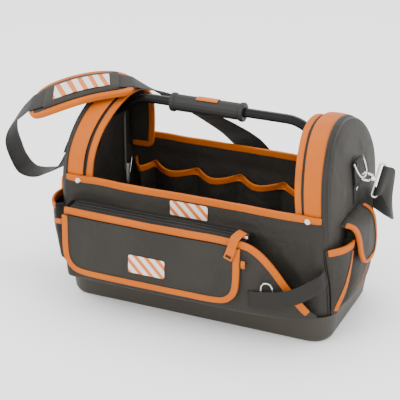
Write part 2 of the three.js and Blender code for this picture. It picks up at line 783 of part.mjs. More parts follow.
// Printed patches: thin plates with round corners.
const patchThick = 0.9;
const patchPlay = 0.15;
const frontPatch = { wide: 66, high: 25, radius: 3, below: 25 }; // below is the drop of its middle
const flapPatch = { wide: 65, high: 31, radius: 3.5, below: 73 };
function patchPlate({ wide, high, radius }, thick) {
  const shape = new THREE.Shape();
  const x = wide / 2 - radius;
  const y = high / 2 - radius;
  shape.absarc(x, y, radius, 0, Math.PI / 2);
  shape.absarc(-x, y, radius, Math.PI / 2, Math.PI);
  shape.absarc(-x, -y, radius, Math.PI, 1.5 * Math.PI);
  shape.absarc(x, -y, radius, 1.5 * Math.PI, 2 * Math.PI);
  const options = { depth: thick, bevelEnabled: false, curveSegments: 2, steps: 1 };
  const plate = new THREE.ExtrudeGeometry(shape, options);
  return plate.rotateX(Math.PI / 2);
}

function buildPatches() {
  const front = patchPlate(frontPatch, patchThick);
  front.translate(0, -(halfDepth(flareTop) + clothGap), frontHeight - frontPatch.below);
  add("label_front", front, patch);
  const centreX = lerp(flapLeft, flapRight, 0.49);
  const centreZ = pocketTop - flapPatch.below;
  const flap = patchPlate(flapPatch, patchThick);
  const foot = flapY(centreX, centreZ - flapPatch.high / 2);
  const head = flapY(centreX, centreZ + flapPatch.high / 2);
  flap.rotateX(Math.atan2(foot - head, flapPatch.high));
  flap.translate(centreX, (foot + head) / 2 - flapWall - clothGap - patchPlay, centreZ);
  add("label_flap", flap, patch);
}

// Press studs at the two ends of the front edge.
const studInset = 37.5;
const studDrop = 7;
const studProfile = [
  { r: 0, z: 0 },
  { r: 5.5, z: 0 },
  { r: 5.5, z: 0.8 },
  { r: 4.2, z: 2 },
  { r: 2.4, z: 2.7 },
  { r: 0, z: 2.9 },
];

function buildStuds() {
  for (const [side, word] of [
    [1, "right"],
    [-1, "left"],
  ]) {
    const dome = new THREE.LatheGeometry(studProfile.map(({ r, z }) => new THREE.Vector2(r, z)), 8);
    dome.rotateX(Math.PI);
    const x = side * (bodyLength / 2 - studInset);
    dome.translate(x, -(halfDepth(frontHeight) + clothGap + tapeWall + clothGap), frontHeight - studDrop);
    add("snap_" + word, dome, nickel);
  }
}

// Pockets on the ends. Each side's table gives how far the pocket's face stands out along its length.
const toolPlans = {
  right: [
    { along: 0, out: 0 },
    { along: 0.06, out: 0.16 },
    { along: 0.3, out: 0.48 },
    { along: 0.58, out: 0.8 },
    { along: 0.84, out: 1 },
    { along: 1, out: 0.92 },
    { along: 1, out: -0.1 },
  ],
  left: [
    { along: 0, out: -0.1 },
    { along: 0.02, out: 0.9 },
    { along: 0.14, out: 1.1 },
    { along: 0.5, out: 1.17 },
    { along: 0.84, out: 1.1 },
    { along: 1, out: 0.92 },
    { along: 1, out: -0.1 },
  ],
};
const toolLevels = {
  right: [
    { share: 1, out: 1 },
    { share: 0.72, out: 0.95 },
    { share: 0.42, out: 0.78 },
    { share: 0.15, out: 0.5 },
    { share: 0, out: 0.24 },
  ],
  left: [
    { share: 1, out: 1 },
    { share: 0.72, out: 1.03 },
    { share: 0.42, out: 1.05 },
    { share: 0.08, out: 1.05 },
    { share: 0, out: 0.5 },
  ],
};
const endStand = 4.2; // the padded end's rise with a gap
const toolRearBack = flapPocketHalf + 5.6; // where its rear edge ends at the mouth, before the bag's middle
const toolRearTop = halfDepth(toolPocketTop) - corner(toolPocketTop) - toolRearBack;
const toolRearFoot = -8;

const mirrored = (point, side) => point.setX(side * point.x);
const standOff = (along) => liningWall + lerp(sideGap, endStand, smoothstep(along, -6, 12));

function toolPoint(word, side, plan, level) {
  const z = lerp(pocketFloor, toolPocketTop, level.share);
  const rear = lerp(toolRearFoot, toolRearTop, level.share ** 0.8);
  const along = lerp(seamAlong(z) + 2.5, rear, plan.along);
  const full = toolPocketOut - endStand - liningWall;
  return mirrored(bodyPoint(z, along, standOff(along) + full * plan.out * level.out), side);
}

function buildToolPocket(side, word) {
  const grid = toolLevels[word].map((level) =>
    toolPlans[word].map((plan) => toolPoint(word, side, plan, level)),
  );
  const inward = vec(-side, 0.4, 0);
  add("tool_pocket_" + word, sheet(grid, inward, liningWall), cloth);
  const middle = shifted(grid, inward, liningWall / 2);
  const path = middle[0].slice(1, -1).map((at, i) => ({
    at,
    out: at.clone().sub(middle[1][i + 1]).normalize(),
    normal: normals(grid, inward)[0][i + 1],
  }));
  add("tool_binding_" + word, binding(path, liningWall + play), orange);

  const last = toolPlans[word].length - 2;
  const seam = shares(7).map((share) => {
    const level = { share: lerp(0.86, 0.1, share) };
    level.out = read([...toolLevels[word]].reverse(), "share", level.share, "out");
    const near = toolPoint(word, side, toolPlans[word][last - 1], level);
    const far = toolPoint(word, side, toolPlans[word][last], level);
    const across = far.clone().sub(near).normalize();
    const normal = across.clone().cross(vec(0, 0, 1)).multiplyScalar(side).normalize();
    const at = far.addScaledVector(across, -(bindingWide - 2) / 2).addScaledVector(normal, clothGap + play);
    return { at, across, normal };
  });
  add("tool_seam_" + word, tape(seam, bindingWide - 1, tapeWall), orange);
}

const flapPocketPlan = [
  { y: -flapPocketHalf, out: 0.18 },
  { y: 2 - flapPocketHalf, out: 0.45 },
  { y: 10 - flapPocketHalf, out: 0.8 },
  { y: 34 - flapPocketHalf, out: 1 },
  { y: flapPocketHalf - 38, out: 1 },
  { y: flapPocketHalf - 12, out: 0.84 },
  { y: flapPocketHalf - 3, out: 0.5 },
  { y: flapPocketHalf - 1, out: 0.18 },
];
const flapPocketLevels = [
  { share: 1, out: 0.86 },
  { share: 0.72, out: 0.97 },
  { share: 0.45, out: 1 },
  { share: 0.2, out: 0.84 },
  { share: 0.03, out: 0.5 },
  { share: 0, out: 0.24 },
];

function buildFlapPocket(side, word) {
  const grid = flapPocketLevels.map((level) =>
    flapPocketPlan.map(({ y, out }) => {
      const z = lerp(pocketFloor, flapPocketTop, level.share);
      const stand = endRise(z, middleIn) + sideGap;
      return vec(side * (endX(z) + stand + (flapPocketOut - stand) * out * level.out), y, z);
    }),
  );
  add("flap_pocket_" + word, sheet(grid, vec(-side, 0, 0), liningWall), cloth);
}

// Flap over each end's closed pocket: sewn to the end above, it turns out over the mouth and hangs down. The
// rows are counted from the pocket's mouth and from the face of the end.
const hangRows = [
  { rise: 19, out: 0.3, front: -88, back: 8 },
  { rise: 19.5, out: 8, front: -83, back: 11 },
  { rise: 15, out: 18, front: -74, back: 14 },
  { rise: 3, out: 25.5, front: -67, back: 18 },
  { rise: -14, out: 28.5, front: -62, back: 22 },
  { rise: -32, out: 30, front: -59, back: 24 },
  { rise: -47, out: 30.5, front: -52, back: 21 },
  { rise: -57, out: 30.5, front: -42, back: 13 },
  { rise: -63, out: 30.5, front: -27, back: 0 },
];
const hangWall = 2;
const hangMiddle = -19;
const hangHalf = 43;
const hangCurl = 3; // how far the flap bends back at its two sides

function buildHangingFlap(side, word) {
  const top = flapPocketTop + hangRows[0].rise;
  const start = endX(top) + endRise(top, middleIn) + clothGap;
  const grid = hangRows.map((row) =>
    shares(5).map((share) => {
      const y = lerp(row.front, row.back, share);
      const curl = hangCurl * ((y - hangMiddle) / hangHalf) ** 2 * smoothstep(row.out, 16, 28);
      return vec(side * (start + row.out - curl), y, flapPocketTop + row.rise);
    }),
  );
  const outward = vec(side, 0, 0.3);
  add("pocket_flap_" + word, sheet(grid, outward, hangWall), cloth);
  const middle = shifted(grid, outward, hangWall / 2);
  const faces = normals(grid, outward);
  const last = grid.length - 1;
  const rim = (r, c) => {
    const inner = middle[Math.min(r, last - 1)][Math.min(Math.max(c, 1), middle[r].length - 2)];
    return { at: middle[r][c], out: middle[r][c].clone().sub(inner).normalize(), normal: faces[r][c] };
  };
  const rows = count(last).slice(1);
  const end = middle[0].length - 1;
  const sides = (c) =>
    rows.map((r) => {
      const inner = middle[r][c ? c - 1 : 1];
      return { ...rim(r, c), out: middle[r][c].clone().sub(inner).normalize() };
    });
  const path = [...sides(0), ...middle[last].map((_, c) => rim(last, c)), ...sides(end).reverse()];
  add("pocket_flap_binding_" + word, binding(path, hangWall + 2 * play, bindingWide - 1), orange);
}

// Carrying handle: a tube that bends down inside both arches, flattened where it is riveted to the ends.
const footRadius = 26;
const handleTurn = degToRad(33);
const footHalf = { inPlane: 3, across: 11 };
const footGap = 0.8;
const flatStart = handleHeight - 31; // the tube is flattened from here
const flatEnd = handleHeight - 61; // to here, and stays flat down to its end

function buildHandle() {
  const footLine = (z) => endX(z) + endRise(z, podHeight - z) - clothWall - footGap - footHalf.inPlane;
  const half = (side) => {
    const straightEnd = handleShift + (side * handleStraight) / 2;
    const footX = footLine(flatEnd);
    const bend = shares(5).map((share) => {
      const turn = handleTurn * share;
      const drop = handleBend * (1 - Math.cos(turn));
      return vec(Math.abs(straightEnd) + handleBend * Math.sin(turn), 0, handleHeight - drop);
    });
    const start = bend.at(-1);
    const run = footX - footRadius * (1 - Math.sin(handleTurn)) - start.x;
    const drop = run * Math.tan(handleTurn);
    const low = shares(4).map((share) => {
      const turn = lerp(handleTurn, Math.PI / 2, share);
      return vec(
        footX - footRadius * (1 - Math.sin(turn)),
        0,
        start.z - drop - footRadius * (Math.cos(handleTurn) - Math.cos(turn)),
      );
    });
    const foot = [lerp(low.at(-1).z, handleFoot, 0.5), handleFoot].map((z) => vec(footLine(z), 0, z));
    return [...bend, ...low, ...foot].map((p) => vec(side * p.x, p.y, p.z));
  };
  const path = [...half(-1).reverse(), ...half(1)];
  const halves = (point) => {
    const flat = smoothstep(flatStart - point.z, 0, flatStart - flatEnd);
    return {
      inPlane: lerp(tubeRadius, footHalf.inPlane, flat),
      across: lerp(tubeRadius, footHalf.across, flat),
    };
  };
  add("handle_tube", bar(path, vec(0, 1, 0), halves, 8), steel);

  const end = gripLength / 2;
  const bore = tubeRadius + clothGap;
  const profile = [
    { r: bore, x: -end },
    { r: gripRadius + 1.6, x: -end },
    { r: gripRadius + 2, x: -end + 1 },
    { r: gripRadius + 2, x: -end + 7 },
    { r: gripRadius, x: -end + 9 },
    { r: gripRadius, x: end - 9 },
    { r: gripRadius + 2, x: end - 7 },
    { r: gripRadius + 2, x: end - 1 },
    { r: gripRadius + 1.6, x: end },
    { r: bore, x: end },
    { r: bore, x: -end },
  ];
  const sleeve = new THREE.LatheGeometry(profile.map(({ r, x }) => new THREE.Vector2(r, x)), 16);
  sleeve.rotateZ(-Math.PI / 2);
  sleeve.translate(gripCentre, 0, handleHeight);
  add("handle_grip", sleeve, grip);

  const spread = degToRad(34);
  const inlay = (radius) =>
    [-19, 19].map((x) =>
      shares(6).map((share) => {
        const turn = lerp(-spread, spread, share);
        return vec(gripCentre + x, radius * Math.sin(turn), handleHeight + radius * Math.cos(turn));
      }),
    );
  add("grip_inlay", wall(inlay(gripRadius + 1.4), inlay(gripRadius + clothGap)), orange);
}

// Fittings at each end: a webbing tab folded over the bar of a ring, the ring, a snap hook through it with
// a sprung gate, and the flat ring that carries the strap.
const tabThick = 1.8;
const tabFoot = springHeight - 26; // lower end of the webbing tab
const tabBend = barHeight - 14; // where it leaves the end
const barStand = 9.4; // the ring's bar, out from the end's own line
const ringTilt = degToRad(25);
const hookRadius = 7; // middle line of the hook's bend
const hookWire = 2.2;
const hookReach = 9.5;
const barrelLength = 7;
const barrelRadius = 4.2;
const ringGap = 0.6;
const strapRingShort = 9;
const strapRingWire = 1.9;
const gateThick = 3.2;
const gateTail = 2.5; // the gate reaches back over the barrel by this much
const gateShort = 1.2; // and stops this far short of the hook's nose, to swing past it
const fittings = {
  right: { aim: vec(0.8, 0.5, -0.33).normalize(), wide: vec(0.05, 0.35, 1) },
  left: { aim: vec(-0.78, -0.06, -0.62).normalize(), wide: vec(0, 1, 0) },
};

function fittingFrame(side, word) {
  const top = vec(side * (endX(barHeight) + barStand), 0, barHeight);
  const hang = vec(side * Math.sin(ringTilt), 0, -Math.cos(ringTilt));
  const eye = top.clone().addScaledVector(hang, ringDrop);
  const { aim, wide } = fittings[word];
  const across = wide.clone().addScaledVector(aim, -wide.dot(aim)).normalize();
  const hookNormal = vec(0, 1, 0).addScaledVector(aim, -aim.y).normalize();
  const up = aim.clone().cross(hookNormal).normalize();
  if (up.z < 0) up.negate();
  const slant = (hookWire * Math.abs(aim.y)) / Math.sqrt(1 - aim.y ** 2);
  const wireGap = hookReach + hookRadius - hookWire - ringWire - clothGap - 1.3 * slant;
  const barrel = eye.clone().addScaledVector(aim, wireGap);
  const strapRing = barrel.clone().addScaledVector(aim, barrelLength + ringGap + strapRingWire);
  const strapBar = strapRing.clone().addScaledVector(aim, strapRingShort);
  return { top, hang, aim, across, hookNormal, up, barrel, strapRing, strapBar };
}

function buildFittings(side, word) {
  const f = fittingFrame(side, word);
  const clear = ringWire + clothGap + tabThick / 2;
  const onEnd = (z) => endX(z) + endRise(springHeight, middleIn) + clothGap + tabThick / 2;
  const barX = endX(barHeight) + barStand;
  const around = shares(5).map((share) => {
    const turn = Math.PI * (1 - share);
    return { x: barX + clear * Math.cos(turn), z: barHeight + clear * Math.sin(turn) };
  });
  const layer = tabThick + clothGap;
  const fold = [
    ...[tabFoot, springHeight, (springHeight + tabBend) / 2, tabBend].map((z) => ({ x: onEnd(z), z })),
    ...around,
    { x: barX + clear * Math.cos(0.6), z: barHeight - clear * Math.sin(0.6) },
    { x: onEnd(barHeight) + layer + 2, z: barHeight - 10 },
    { x: onEnd(springHeight) + layer + 0.6, z: springHeight + 4 },
  ];
  const points = fold.map(({ x, z }) => vec(side * x, 0, z));
  const path = points.map((at, i) => {
    const along = heading(points, i);
    const across = vec(0, 1, 0);
    const normal = along.cross(across).normalize();
    return { at: at.clone().addScaledVector(normal, -tabThick / 2), across, normal };
  });
  add("ring_tab_" + word, tape(path, tabWide, tabThick), cloth);

  const ring = count(9).map((i) => {
    const turn = (Math.PI * i) / 8;
    const y = (ringWide / 2) * Math.sign(Math.cos(turn)) * Math.abs(Math.cos(turn)) ** 0.8;
    return f.top.clone().setY(y).addScaledVector(f.hang, ringDrop * Math.sin(turn) ** 0.8);
  });
  const ringNormal = f.hang.clone().cross(vec(0, 1, 0)).normalize();
  add("d_ring_" + word, bar(ring, ringNormal, round(ringWire), 6, true), nickel);

  const local = (a, b) => f.barrel.clone().addScaledVector(f.aim, -a).addScaledVector(f.up, b);
  const bend = count(6).map((i) => {
    const turn = -Math.PI / 2 + (Math.PI * i) / 5;
    return local(hookReach + hookRadius * Math.cos(turn), hookRadius * Math.sin(turn));
  });
  const spine = [local(-2, -1), local(2, -hookRadius + 1), ...bend];
  const wire = bar(spine, f.hookNormal, round(hookWire), 6);
  const barrelSides = 8;
  const barrel = bar([local(-barrelLength, 0), local(0, 0)], f.hookNormal, round(barrelRadius), barrelSides);
  const barrelFlat = barrelRadius * Math.cos(Math.PI / barrelSides);
  add("hook_" + word, fuse([wire, barrel]), nickel);

  const gate = [
    { a: -gateTail, b: barrelFlat + clothGap + gateThick / 2, up: gateThick / 2 },
    { a: hookReach - gateShort, b: hookRadius, up: gateThick / 2 - clothGap },
  ].map(({ a, b, up }) =>
    [
      { n: -1, u: -1 },
      { n: 1, u: -1 },
      { n: 1, u: 1 },
      { n: -1, u: 1 },
    ].map(({ n, u }) => local(a, b + u * up).addScaledVector(f.hookNormal, (n * gateThick) / 2)),
  );
  add("hook_gate_" + word, loft(gate), nickel);

  const halfWide = strapWide / 2 + 2.5;
  const oblong = [
    { w: -1, a: 0.25 },
    { w: -0.93, a: 0 },
    { w: 0.93, a: 0 },
    { w: 1, a: 0.25 },
    { w: 1, a: 0.75 },
    { w: 0.93, a: 1 },
    { w: -0.93, a: 1 },
    { w: -1, a: 0.75 },
  ].map(({ w, a }) =>
    f.strapRing.clone().addScaledVector(f.across, w * halfWide).addScaledVector(f.aim, a * strapRingShort),
  );
  const flat = f.aim.clone().cross(f.across).normalize();
  add("strap_ring_" + word, bar(oblong, flat, round(strapRingWire), 6, true), nickel);
}

// Shoulder pad: a bound, padded strip that rests on the left arch. The rows run from its outer end and give
// its near and far edges, counted from the top of that arch.
const padRows = [
  { nx: -95.5, ny: -94, nz: -49, fx: -119.5, fy: -22, fz: -30 },
  { nx: -55.5, ny: -92, nz: -33, fx: -85.5, fy: -22, fz: -8 },
  { nx: -17.5, ny: -83, nz: -16, fx: -49.5, fy: -14, fz: 7 },
  { nx: 16.5, ny: -68, nz: -6, fx: -19.5, fy: 2, fz: 13 },
  { nx: 46.5, ny: -48, nz: -1, fx: 7.5, fy: 20, fz: 12 },
  { nx: 70.5, ny: -26, nz: -1, fx: 30.5, fy: 38, fz: 2 },
];
const padTop = vec(-endX(podHeight), 0, podHeight + 1.5);
const curveOf = (names) =>
  new THREE.CatmullRomCurve3(
    padRows.map((row) => vec(row[names[0]], row[names[1]], row[names[2]]).add(padTop)),
  );
const padNear = curveOf(["nx", "ny", "nz"]);
const padFar = curveOf(["fx", "fy", "fz"]);

function padFrame(share) {
  const near = padNear.getPoint(share);
  const far = padFar.getPoint(share);
  const ahead = padNear.getPoint(Math.min(1, share + 0.02)).add(padFar.getPoint(Math.min(1, share + 0.02)));
  const behind = padNear.getPoint(Math.max(0, share - 0.02)).add(padFar.getPoint(Math.max(0, share - 0.02)));
  const along = ahead.sub(behind).normalize();
  const across = far.clone().sub(near);
  const normal = along.clone().cross(across).normalize();
  return { centre: near.add(far).multiplyScalar(0.5), half: across.multiplyScalar(0.5), along, normal };
}

function padPoint(share, across, height) {
  const { centre, half, normal } = padFrame(share);
  return centre.addScaledVector(half, across).addScaledVector(normal, height);
}

const padRound = 0.12; // share of its length over which an end is rounded
const sleeveWall = 1.2;
const padBare = 0.7; // play between the pad and its binding
const padEnds = [0, 0.25, 0.6, 1].map((k) => k * padRound);
const sleeveShares = [0.16, 0.25, 0.42, 0.58, 0.75, 0.84];
const padShares = [...padEnds, ...sleeveShares, ...padEnds.map((share) => 1 - share).reverse()];
const padHalf = (share) => {
  const short = Math.max(0, 1 - Math.min(share, 1 - share) / padRound);
  return 1 - 0.36 * (1 - Math.sqrt(1 - short ** 2));
};
const strapPlay = 0.8; // and between its binding and the strap on it
const strapSeat = padThick / 2 + padBare + clothGap + tapeWall + clothGap + strapPlay;

function buildPad() {
  const skin = (height) =>
    padShares.map((s) => shares(4).map((c) => padPoint(s, padHalf(s) * (2 * c - 1), height)));
  add("shoulder_pad", wall(skin(padThick / 2), skin(-padThick / 2)), cloth);

  const side = (sign) => padShares.map((s) => ({ s, c: sign * padHalf(s) }));
  const outline = [...side(-1), { s: 1, c: 0 }, ...side(1).reverse(), { s: 0, c: 0 }];
  const path = outline.map(({ s, c }, i) => {
    const size = outline.length;
    const ahead = outline[(i + 1) % size];
    const behind = outline[(i + size - 1) % size];
    const along = padPoint(ahead.s, ahead.c, 0).sub(padPoint(behind.s, behind.c, 0)).normalize();
    const normal = padFrame(s).normal;
    return { at: padPoint(s, c, 0), out: along.cross(normal).normalize(), normal };
  });
  add("pad_binding", binding(path, padThick + 2 * padBare, bindingWide - 1, true), orange);

  const raised = strapSeat + strapThick + clothGap;
  const profile = [
    { c: -0.76, h: strapSeat - tapeWall },
    { c: -0.7, h: raised },
    { c: 0.7, h: raised },
    { c: 0.76, h: strapSeat - tapeWall },
  ];
  const sleeve = (thick) =>
    sleeveShares.map((s) => profile.map(({ c, h }) => padPoint(s, c * (1 + 0.02 * thick), h + thick)));
  add("pad_sleeve", wall(sleeve(sleeveWall), sleeve(0)), cloth);

  const labelBase = raised + sleeveWall + clothGap;
  const label = (height) =>
    sleeveShares.slice(1, -1).map((s) => [-0.48, 0.48].map((c) => padPoint(s, c, height)));
  add("label_pad", wall(label(labelBase + patchThick), label(labelBase)), patch);
}

// Shoulder strap: one run of webbing from the left strap ring over the pad, behind the bag and round its
// right rear corner to the right strap ring. Each row gives the middle of the webbing and the way its width
// points. Rows are counted from the bag's own corners, so that the strap follows the body.
const loopRoute = [
  { x: -61, y: -8, z: -53, wx: 0.1, wy: 1, wz: -0.05 },
  { x: -82, y: -15, z: -62, wx: 0.08, wy: 1, wz: -0.05 },
  { x: -108, y: -23, z: -66, wx: 0.05, wy: 1, wz: -0.05 },
  { x: -126, y: -32, z: -52, wx: 0, wy: 1, wz: 0 },
  { x: -136, y: -40, z: -20, wx: -0.05, wy: 1, wz: 0.1 },
  { x: -137, y: -48, z: 9, wx: -0.1, wy: 1, wz: 0.15 },
  { x: -125, y: -54, z: 38, wx: -0.2, wy: 1, wz: 0.2 },
];
const leaveRoute = [
  { x: 59, y: 25, z: -3.5, wx: -0.6, wy: 0.75, wz: 0 },
  { x: 84, y: 41, z: -17.5, wx: -0.7, wy: 0.55, wz: -0.2 },
  { x: 116, y: 59, z: -35.5, wx: -0.85, wy: 0.4, wz: -0.3 },
];
const backRoute = [
  { x: 178, y: -40, z: 62, wx: -0.85, wy: 0.38, wz: -0.33 },
  { x: 210, y: -8, z: 30, wx: -0.8, wy: 0.3, wz: -0.45 },
  { x: 236, y: 18, z: -4, wx: -0.75, wy: 0.1, wz: -0.6 },
  { x: 272, y: 26, z: -42, wx: -0.6, wy: 0, wz: -0.8 },
  { x: 330, y: 30, z: -70, wx: -0.3, wy: 0, wz: -1 },
  { x: 392, y: 28, z: -68, wx: 0.05, wy: 0.05, wz: -1 },
  { x: 440, y: 22, z: -54, wx: 0.15, wy: 0.1, wz: -1 },
];
const turnRoute = [
  { x: 16, y: -2, z: -64, wx: 0.1, wy: 0.25, wz: -1 },
  { x: 36, y: -40, z: -44, wx: 0, wy: 0.35, wz: -1 },
  { x: 46, y: -74, z: -24, wx: 0, wy: 0.3, wz: -1 },
];

function buildStrap() {
  const left = fittingFrame(-1, "left");
  const right = fittingFrame(1, "right");
  const widthOf = ({ wx, wy, wz }) => vec(wx, wy, wz).normalize();
  const endLeft = vec(-bodyLength / 2, 0, springHeight);
  const backLeft = vec(-bodyLength / 2, topDepth / 2, backHeight);
  const backRight = vec(bodyLength / 2, topDepth / 2, backHeight);
  const placed = (rows, from) =>
    rows.map((row) => ({ at: vec(row.x, row.y, row.z).add(from), width: widthOf(row) }));
  const onPad = padShares.map((share) => {
    const { half, normal } = padFrame(share);
    return { at: padPoint(share, 0, strapSeat), width: half.clone().normalize(), normal };
  });

  const wrap = (f, towards) => {
    const out = towards.clone().addScaledVector(f.across, -towards.dot(f.across)).normalize();
    const clear = strapRingWire + clothGap + strapThick / 2;
    const normal = out.clone().cross(f.across).normalize();
    const point = (along, height) => ({
      at: f.strapBar.clone().addScaledVector(out, along).addScaledVector(normal, height),
      width: f.across.clone(),
    });
    const arc = [-0.5, -0.25, 0, 0.25, 0.5].map((half) =>
      point(-clear * Math.cos(half * Math.PI), clear * Math.sin(half * Math.PI)),
    );
    return [point(22, -strapThick / 2 - 0.5), ...arc, point(22, strapThick / 2 + 0.5)];
  };
  const firstLeft = placed(loopRoute, endLeft);
  const outLeft = firstLeft[0].at.clone().sub(left.strapBar);
  const lastRight = placed(turnRoute, backRight);
  const outRight = lastRight.at(-1).at.clone().sub(right.strapBar);
  const startTurn = wrap(left, outLeft);
  const endTurn = wrap(right, outRight).reverse();
  const fromPad = placed(leaveRoute, padTop);
  const behind = placed(backRoute, backLeft);
  const rows = [...startTurn, ...firstLeft, ...onPad, ...fromPad, ...behind, ...lastRight, ...endTurn];
  for (let i = 1; i < rows.length; i += 1) {
    if (rows[i].width.dot(rows[i - 1].width) < 0) rows[i].width.negate();
  }
  const sections = rows.map(({ at, width, normal: seated }, i) => {
    const ahead = rows[Math.min(i + 1, rows.length - 1)].at;
    const before = rows[Math.max(i - 1, 0)].at;
    const along = ahead.clone().sub(before).normalize();
    const across = width.clone().addScaledVector(along, -width.dot(along)).normalize();
    const normal = along.cross(across).normalize();
    if (!seated) return { at: at.clone().addScaledVector(normal, -strapThick / 2), across, normal };
    if (seated.dot(normal) > 0) return { at, across: width, normal: seated };
    return { at: at.clone().addScaledVector(seated, strapThick), across: width, normal: seated.negate() };
  });
  add("shoulder_strap", tape(sections, strapWide, strapThick), cloth);
}

buildTray();
buildPanel("front_panel", frontHeight, 1);
buildPanel("back_panel", backHeight, -1);
buildInnerPockets();
buildFrontPocket();
buildZip();
buildFlap();
buildSling();
buildPatches();
buildStuds();
buildHandle();
for (const [side, word] of [
  [1, "right"],
  [-1, "left"],
]) {
  buildEnd(side, word);
  buildFlange(side, word);
  buildBand(side, word);
  buildToolPocket(side, word);
  buildFlapPocket(side, word);
  buildHangingFlap(side, word);
  buildFittings(side, word);
}
buildPad();
buildStrap();

export default bag;
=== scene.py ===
# Open tool bag of woven cloth on a hard moulded base, in metres: X along the bag, Y front to back, Z up.
import math

import bmesh
import bpy
from mathutils import Matrix, Vector, noise
from mathutils.bvhtree import BVHTree


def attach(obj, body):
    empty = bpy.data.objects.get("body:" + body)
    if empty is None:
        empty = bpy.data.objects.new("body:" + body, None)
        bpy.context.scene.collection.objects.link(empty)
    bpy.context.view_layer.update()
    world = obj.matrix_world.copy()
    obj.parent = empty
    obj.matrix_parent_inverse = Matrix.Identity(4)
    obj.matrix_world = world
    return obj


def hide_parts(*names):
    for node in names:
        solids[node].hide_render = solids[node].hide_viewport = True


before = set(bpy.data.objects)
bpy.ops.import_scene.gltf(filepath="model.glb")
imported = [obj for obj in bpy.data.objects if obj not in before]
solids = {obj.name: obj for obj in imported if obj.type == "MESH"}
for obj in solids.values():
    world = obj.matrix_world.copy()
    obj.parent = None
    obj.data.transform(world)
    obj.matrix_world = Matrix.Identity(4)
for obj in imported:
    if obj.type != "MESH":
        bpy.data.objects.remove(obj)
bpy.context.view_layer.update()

# The view is that of a product photo: from the front right, a little above the open top,
# with a long lens, so that upright edges stay nearly parallel.
turn = math.radians(24.1)
rise = math.radians(23.8)
distance = 2.21
towards_lens = Vector((math.sin(turn) * math.cos(rise), -math.cos(turn) * math.cos(rise), math.sin(rise)))
lens_right = Vector((math.cos(turn), math.sin(turn), 0))
lens_up = towards_lens.cross(lens_right)
lens = bpy.data.cameras.new("product_view")
lens.lens = 117.4
lens.clip_end = 30
product_view = bpy.data.objects.new("product_view", lens)
product_view.matrix_world = Matrix(
    [
        [lens_right[i], lens_up[i], towards_lens[i], 0] if i < 3 else [0, 0, 0, 1]
        for i in range(4)
    ]
)
product_view.location = (
    Vector((0, 0, 0.170)) + towards_lens * distance - lens_right * 0.0332 + lens_up * 0.0010
)
bpy.context.collection.objects.link(product_view)
bpy.context.scene.camera = product_view

# The studio: a seamless white floor, bright walls all round, and three large soft boxes. The largest stands
# high at the front left, so that the right end of the bag is the darker one.
studio = bpy.data.worlds.new("studio")
bpy.context.scene.world = studio
studio.use_nodes = True
studio.node_tree.nodes["Background"].inputs["Color"].default_value = (1, 1, 1, 1)
studio.node_tree.nodes["Background"].inputs["Strength"].default_value = 2.2
for name, place, aim, size, power in (
    ("key_box", (-1.3, -2.0, 2.3), (0, 0, 0.15), 1.6, 38),
    ("side_box", (2.4, -0.9, 1.3), (0.1, 0, 0.2), 1.2, 12),
    ("top_box", (0.2, 0.6, 2.6), (0, 0, 0.2), 1.6, 26),
):
    box = bpy.data.lights.new(name, "AREA")
    box.shape = "SQUARE"
    box.size = size
    box.energy = power
    lamp = bpy.data.objects.new(name, box)
    lamp.location = place
    lamp.rotation_euler = (Vector(place) - Vector(aim)).to_track_quat("Z", "Y").to_euler()
    bpy.context.collection.objects.link(lamp)
paper = bpy.data.materials.new("white_paper")
paper.use_nodes = True
paper.node_tree.nodes["Principled BSDF"].inputs["Base Color"].default_value = (0.96, 0.96, 0.96, 1)
paper.node_tree.nodes["Principled BSDF"].inputs["Roughness"].default_value = 0.9
sweep = bpy.data.meshes.new("floor")
sweep.from_pydata([(-6, -6, 0), (6, -6, 0), (6, 6, 0), (-6, 6, 0)], [], [(0, 1, 2, 3)])
sweep.materials.append(paper)
floor = bpy.data.objects.new("floor", sweep)
bpy.context.collection.objects.link(floor)


# Base: one pan of polypropylene, moulded with a fine spark grain.
# It stands on its flat underside and holds the foot of the cloth inside its rim.
def shader_of(material):
    """The material's shader, its links and a way to add nodes."""
    material.use_nodes = True
    tree = material.node_tree
    return tree, tree.nodes["Principled BSDF"]


def grained(name, dark, light, rough, grain, depth):
    """A moulded or painted finish: a fine grain in the bump, and a slow change of colour and gloss."""
    material = bpy.data.materials.new(name)
    tree, shader = shader_of(material)
    place = tree.nodes.new("ShaderNodeTexCoord")
    slow = tree.nodes.new("ShaderNodeTexNoise")
    slow.inputs["Scale"].default_value = 9
    slow.inputs["Detail"].default_value = 4
    fine = tree.nodes.new("ShaderNodeTexNoise")
    fine.inputs["Scale"].default_value = grain
    fine.inputs["Detail"].default_value = 3
    tint = tree.nodes.new("ShaderNodeMix")
    tint.data_type = "RGBA"
    tint.inputs["A"].default_value = (*dark, 1)
    tint.inputs["B"].default_value = (*light, 1)
    gloss = tree.nodes.new("ShaderNodeMapRange")
    gloss.inputs["To Min"].default_value = rough - 0.08
    gloss.inputs["To Max"].default_value = rough + 0.08
    bump = tree.nodes.new("ShaderNodeBump")
    bump.inputs["Strength"].default_value = 0.35
    bump.inputs["Distance"].default_value = depth
    shader.inputs["Specular IOR Level"].default_value = 0.3
    for source in (slow, fine):
        tree.links.new(place.outputs["Object"], source.inputs["Vector"])
    tree.links.new(slow.outputs["Fac"], tint.inputs["Factor"])
    tree.links.new(tint.outputs["Result"], shader.inputs["Base Color"])
    tree.links.new(slow.outputs["Fac"], gloss.inputs["Value"])
    tree.links.new(gloss.outputs["Result"], shader.inputs["Roughness"])
    tree.links.new(fine.outputs["Fac"], bump.inputs["Height"])
    tree.links.new(bump.outputs["Normal"], shader.inputs["Normal"])
    return material


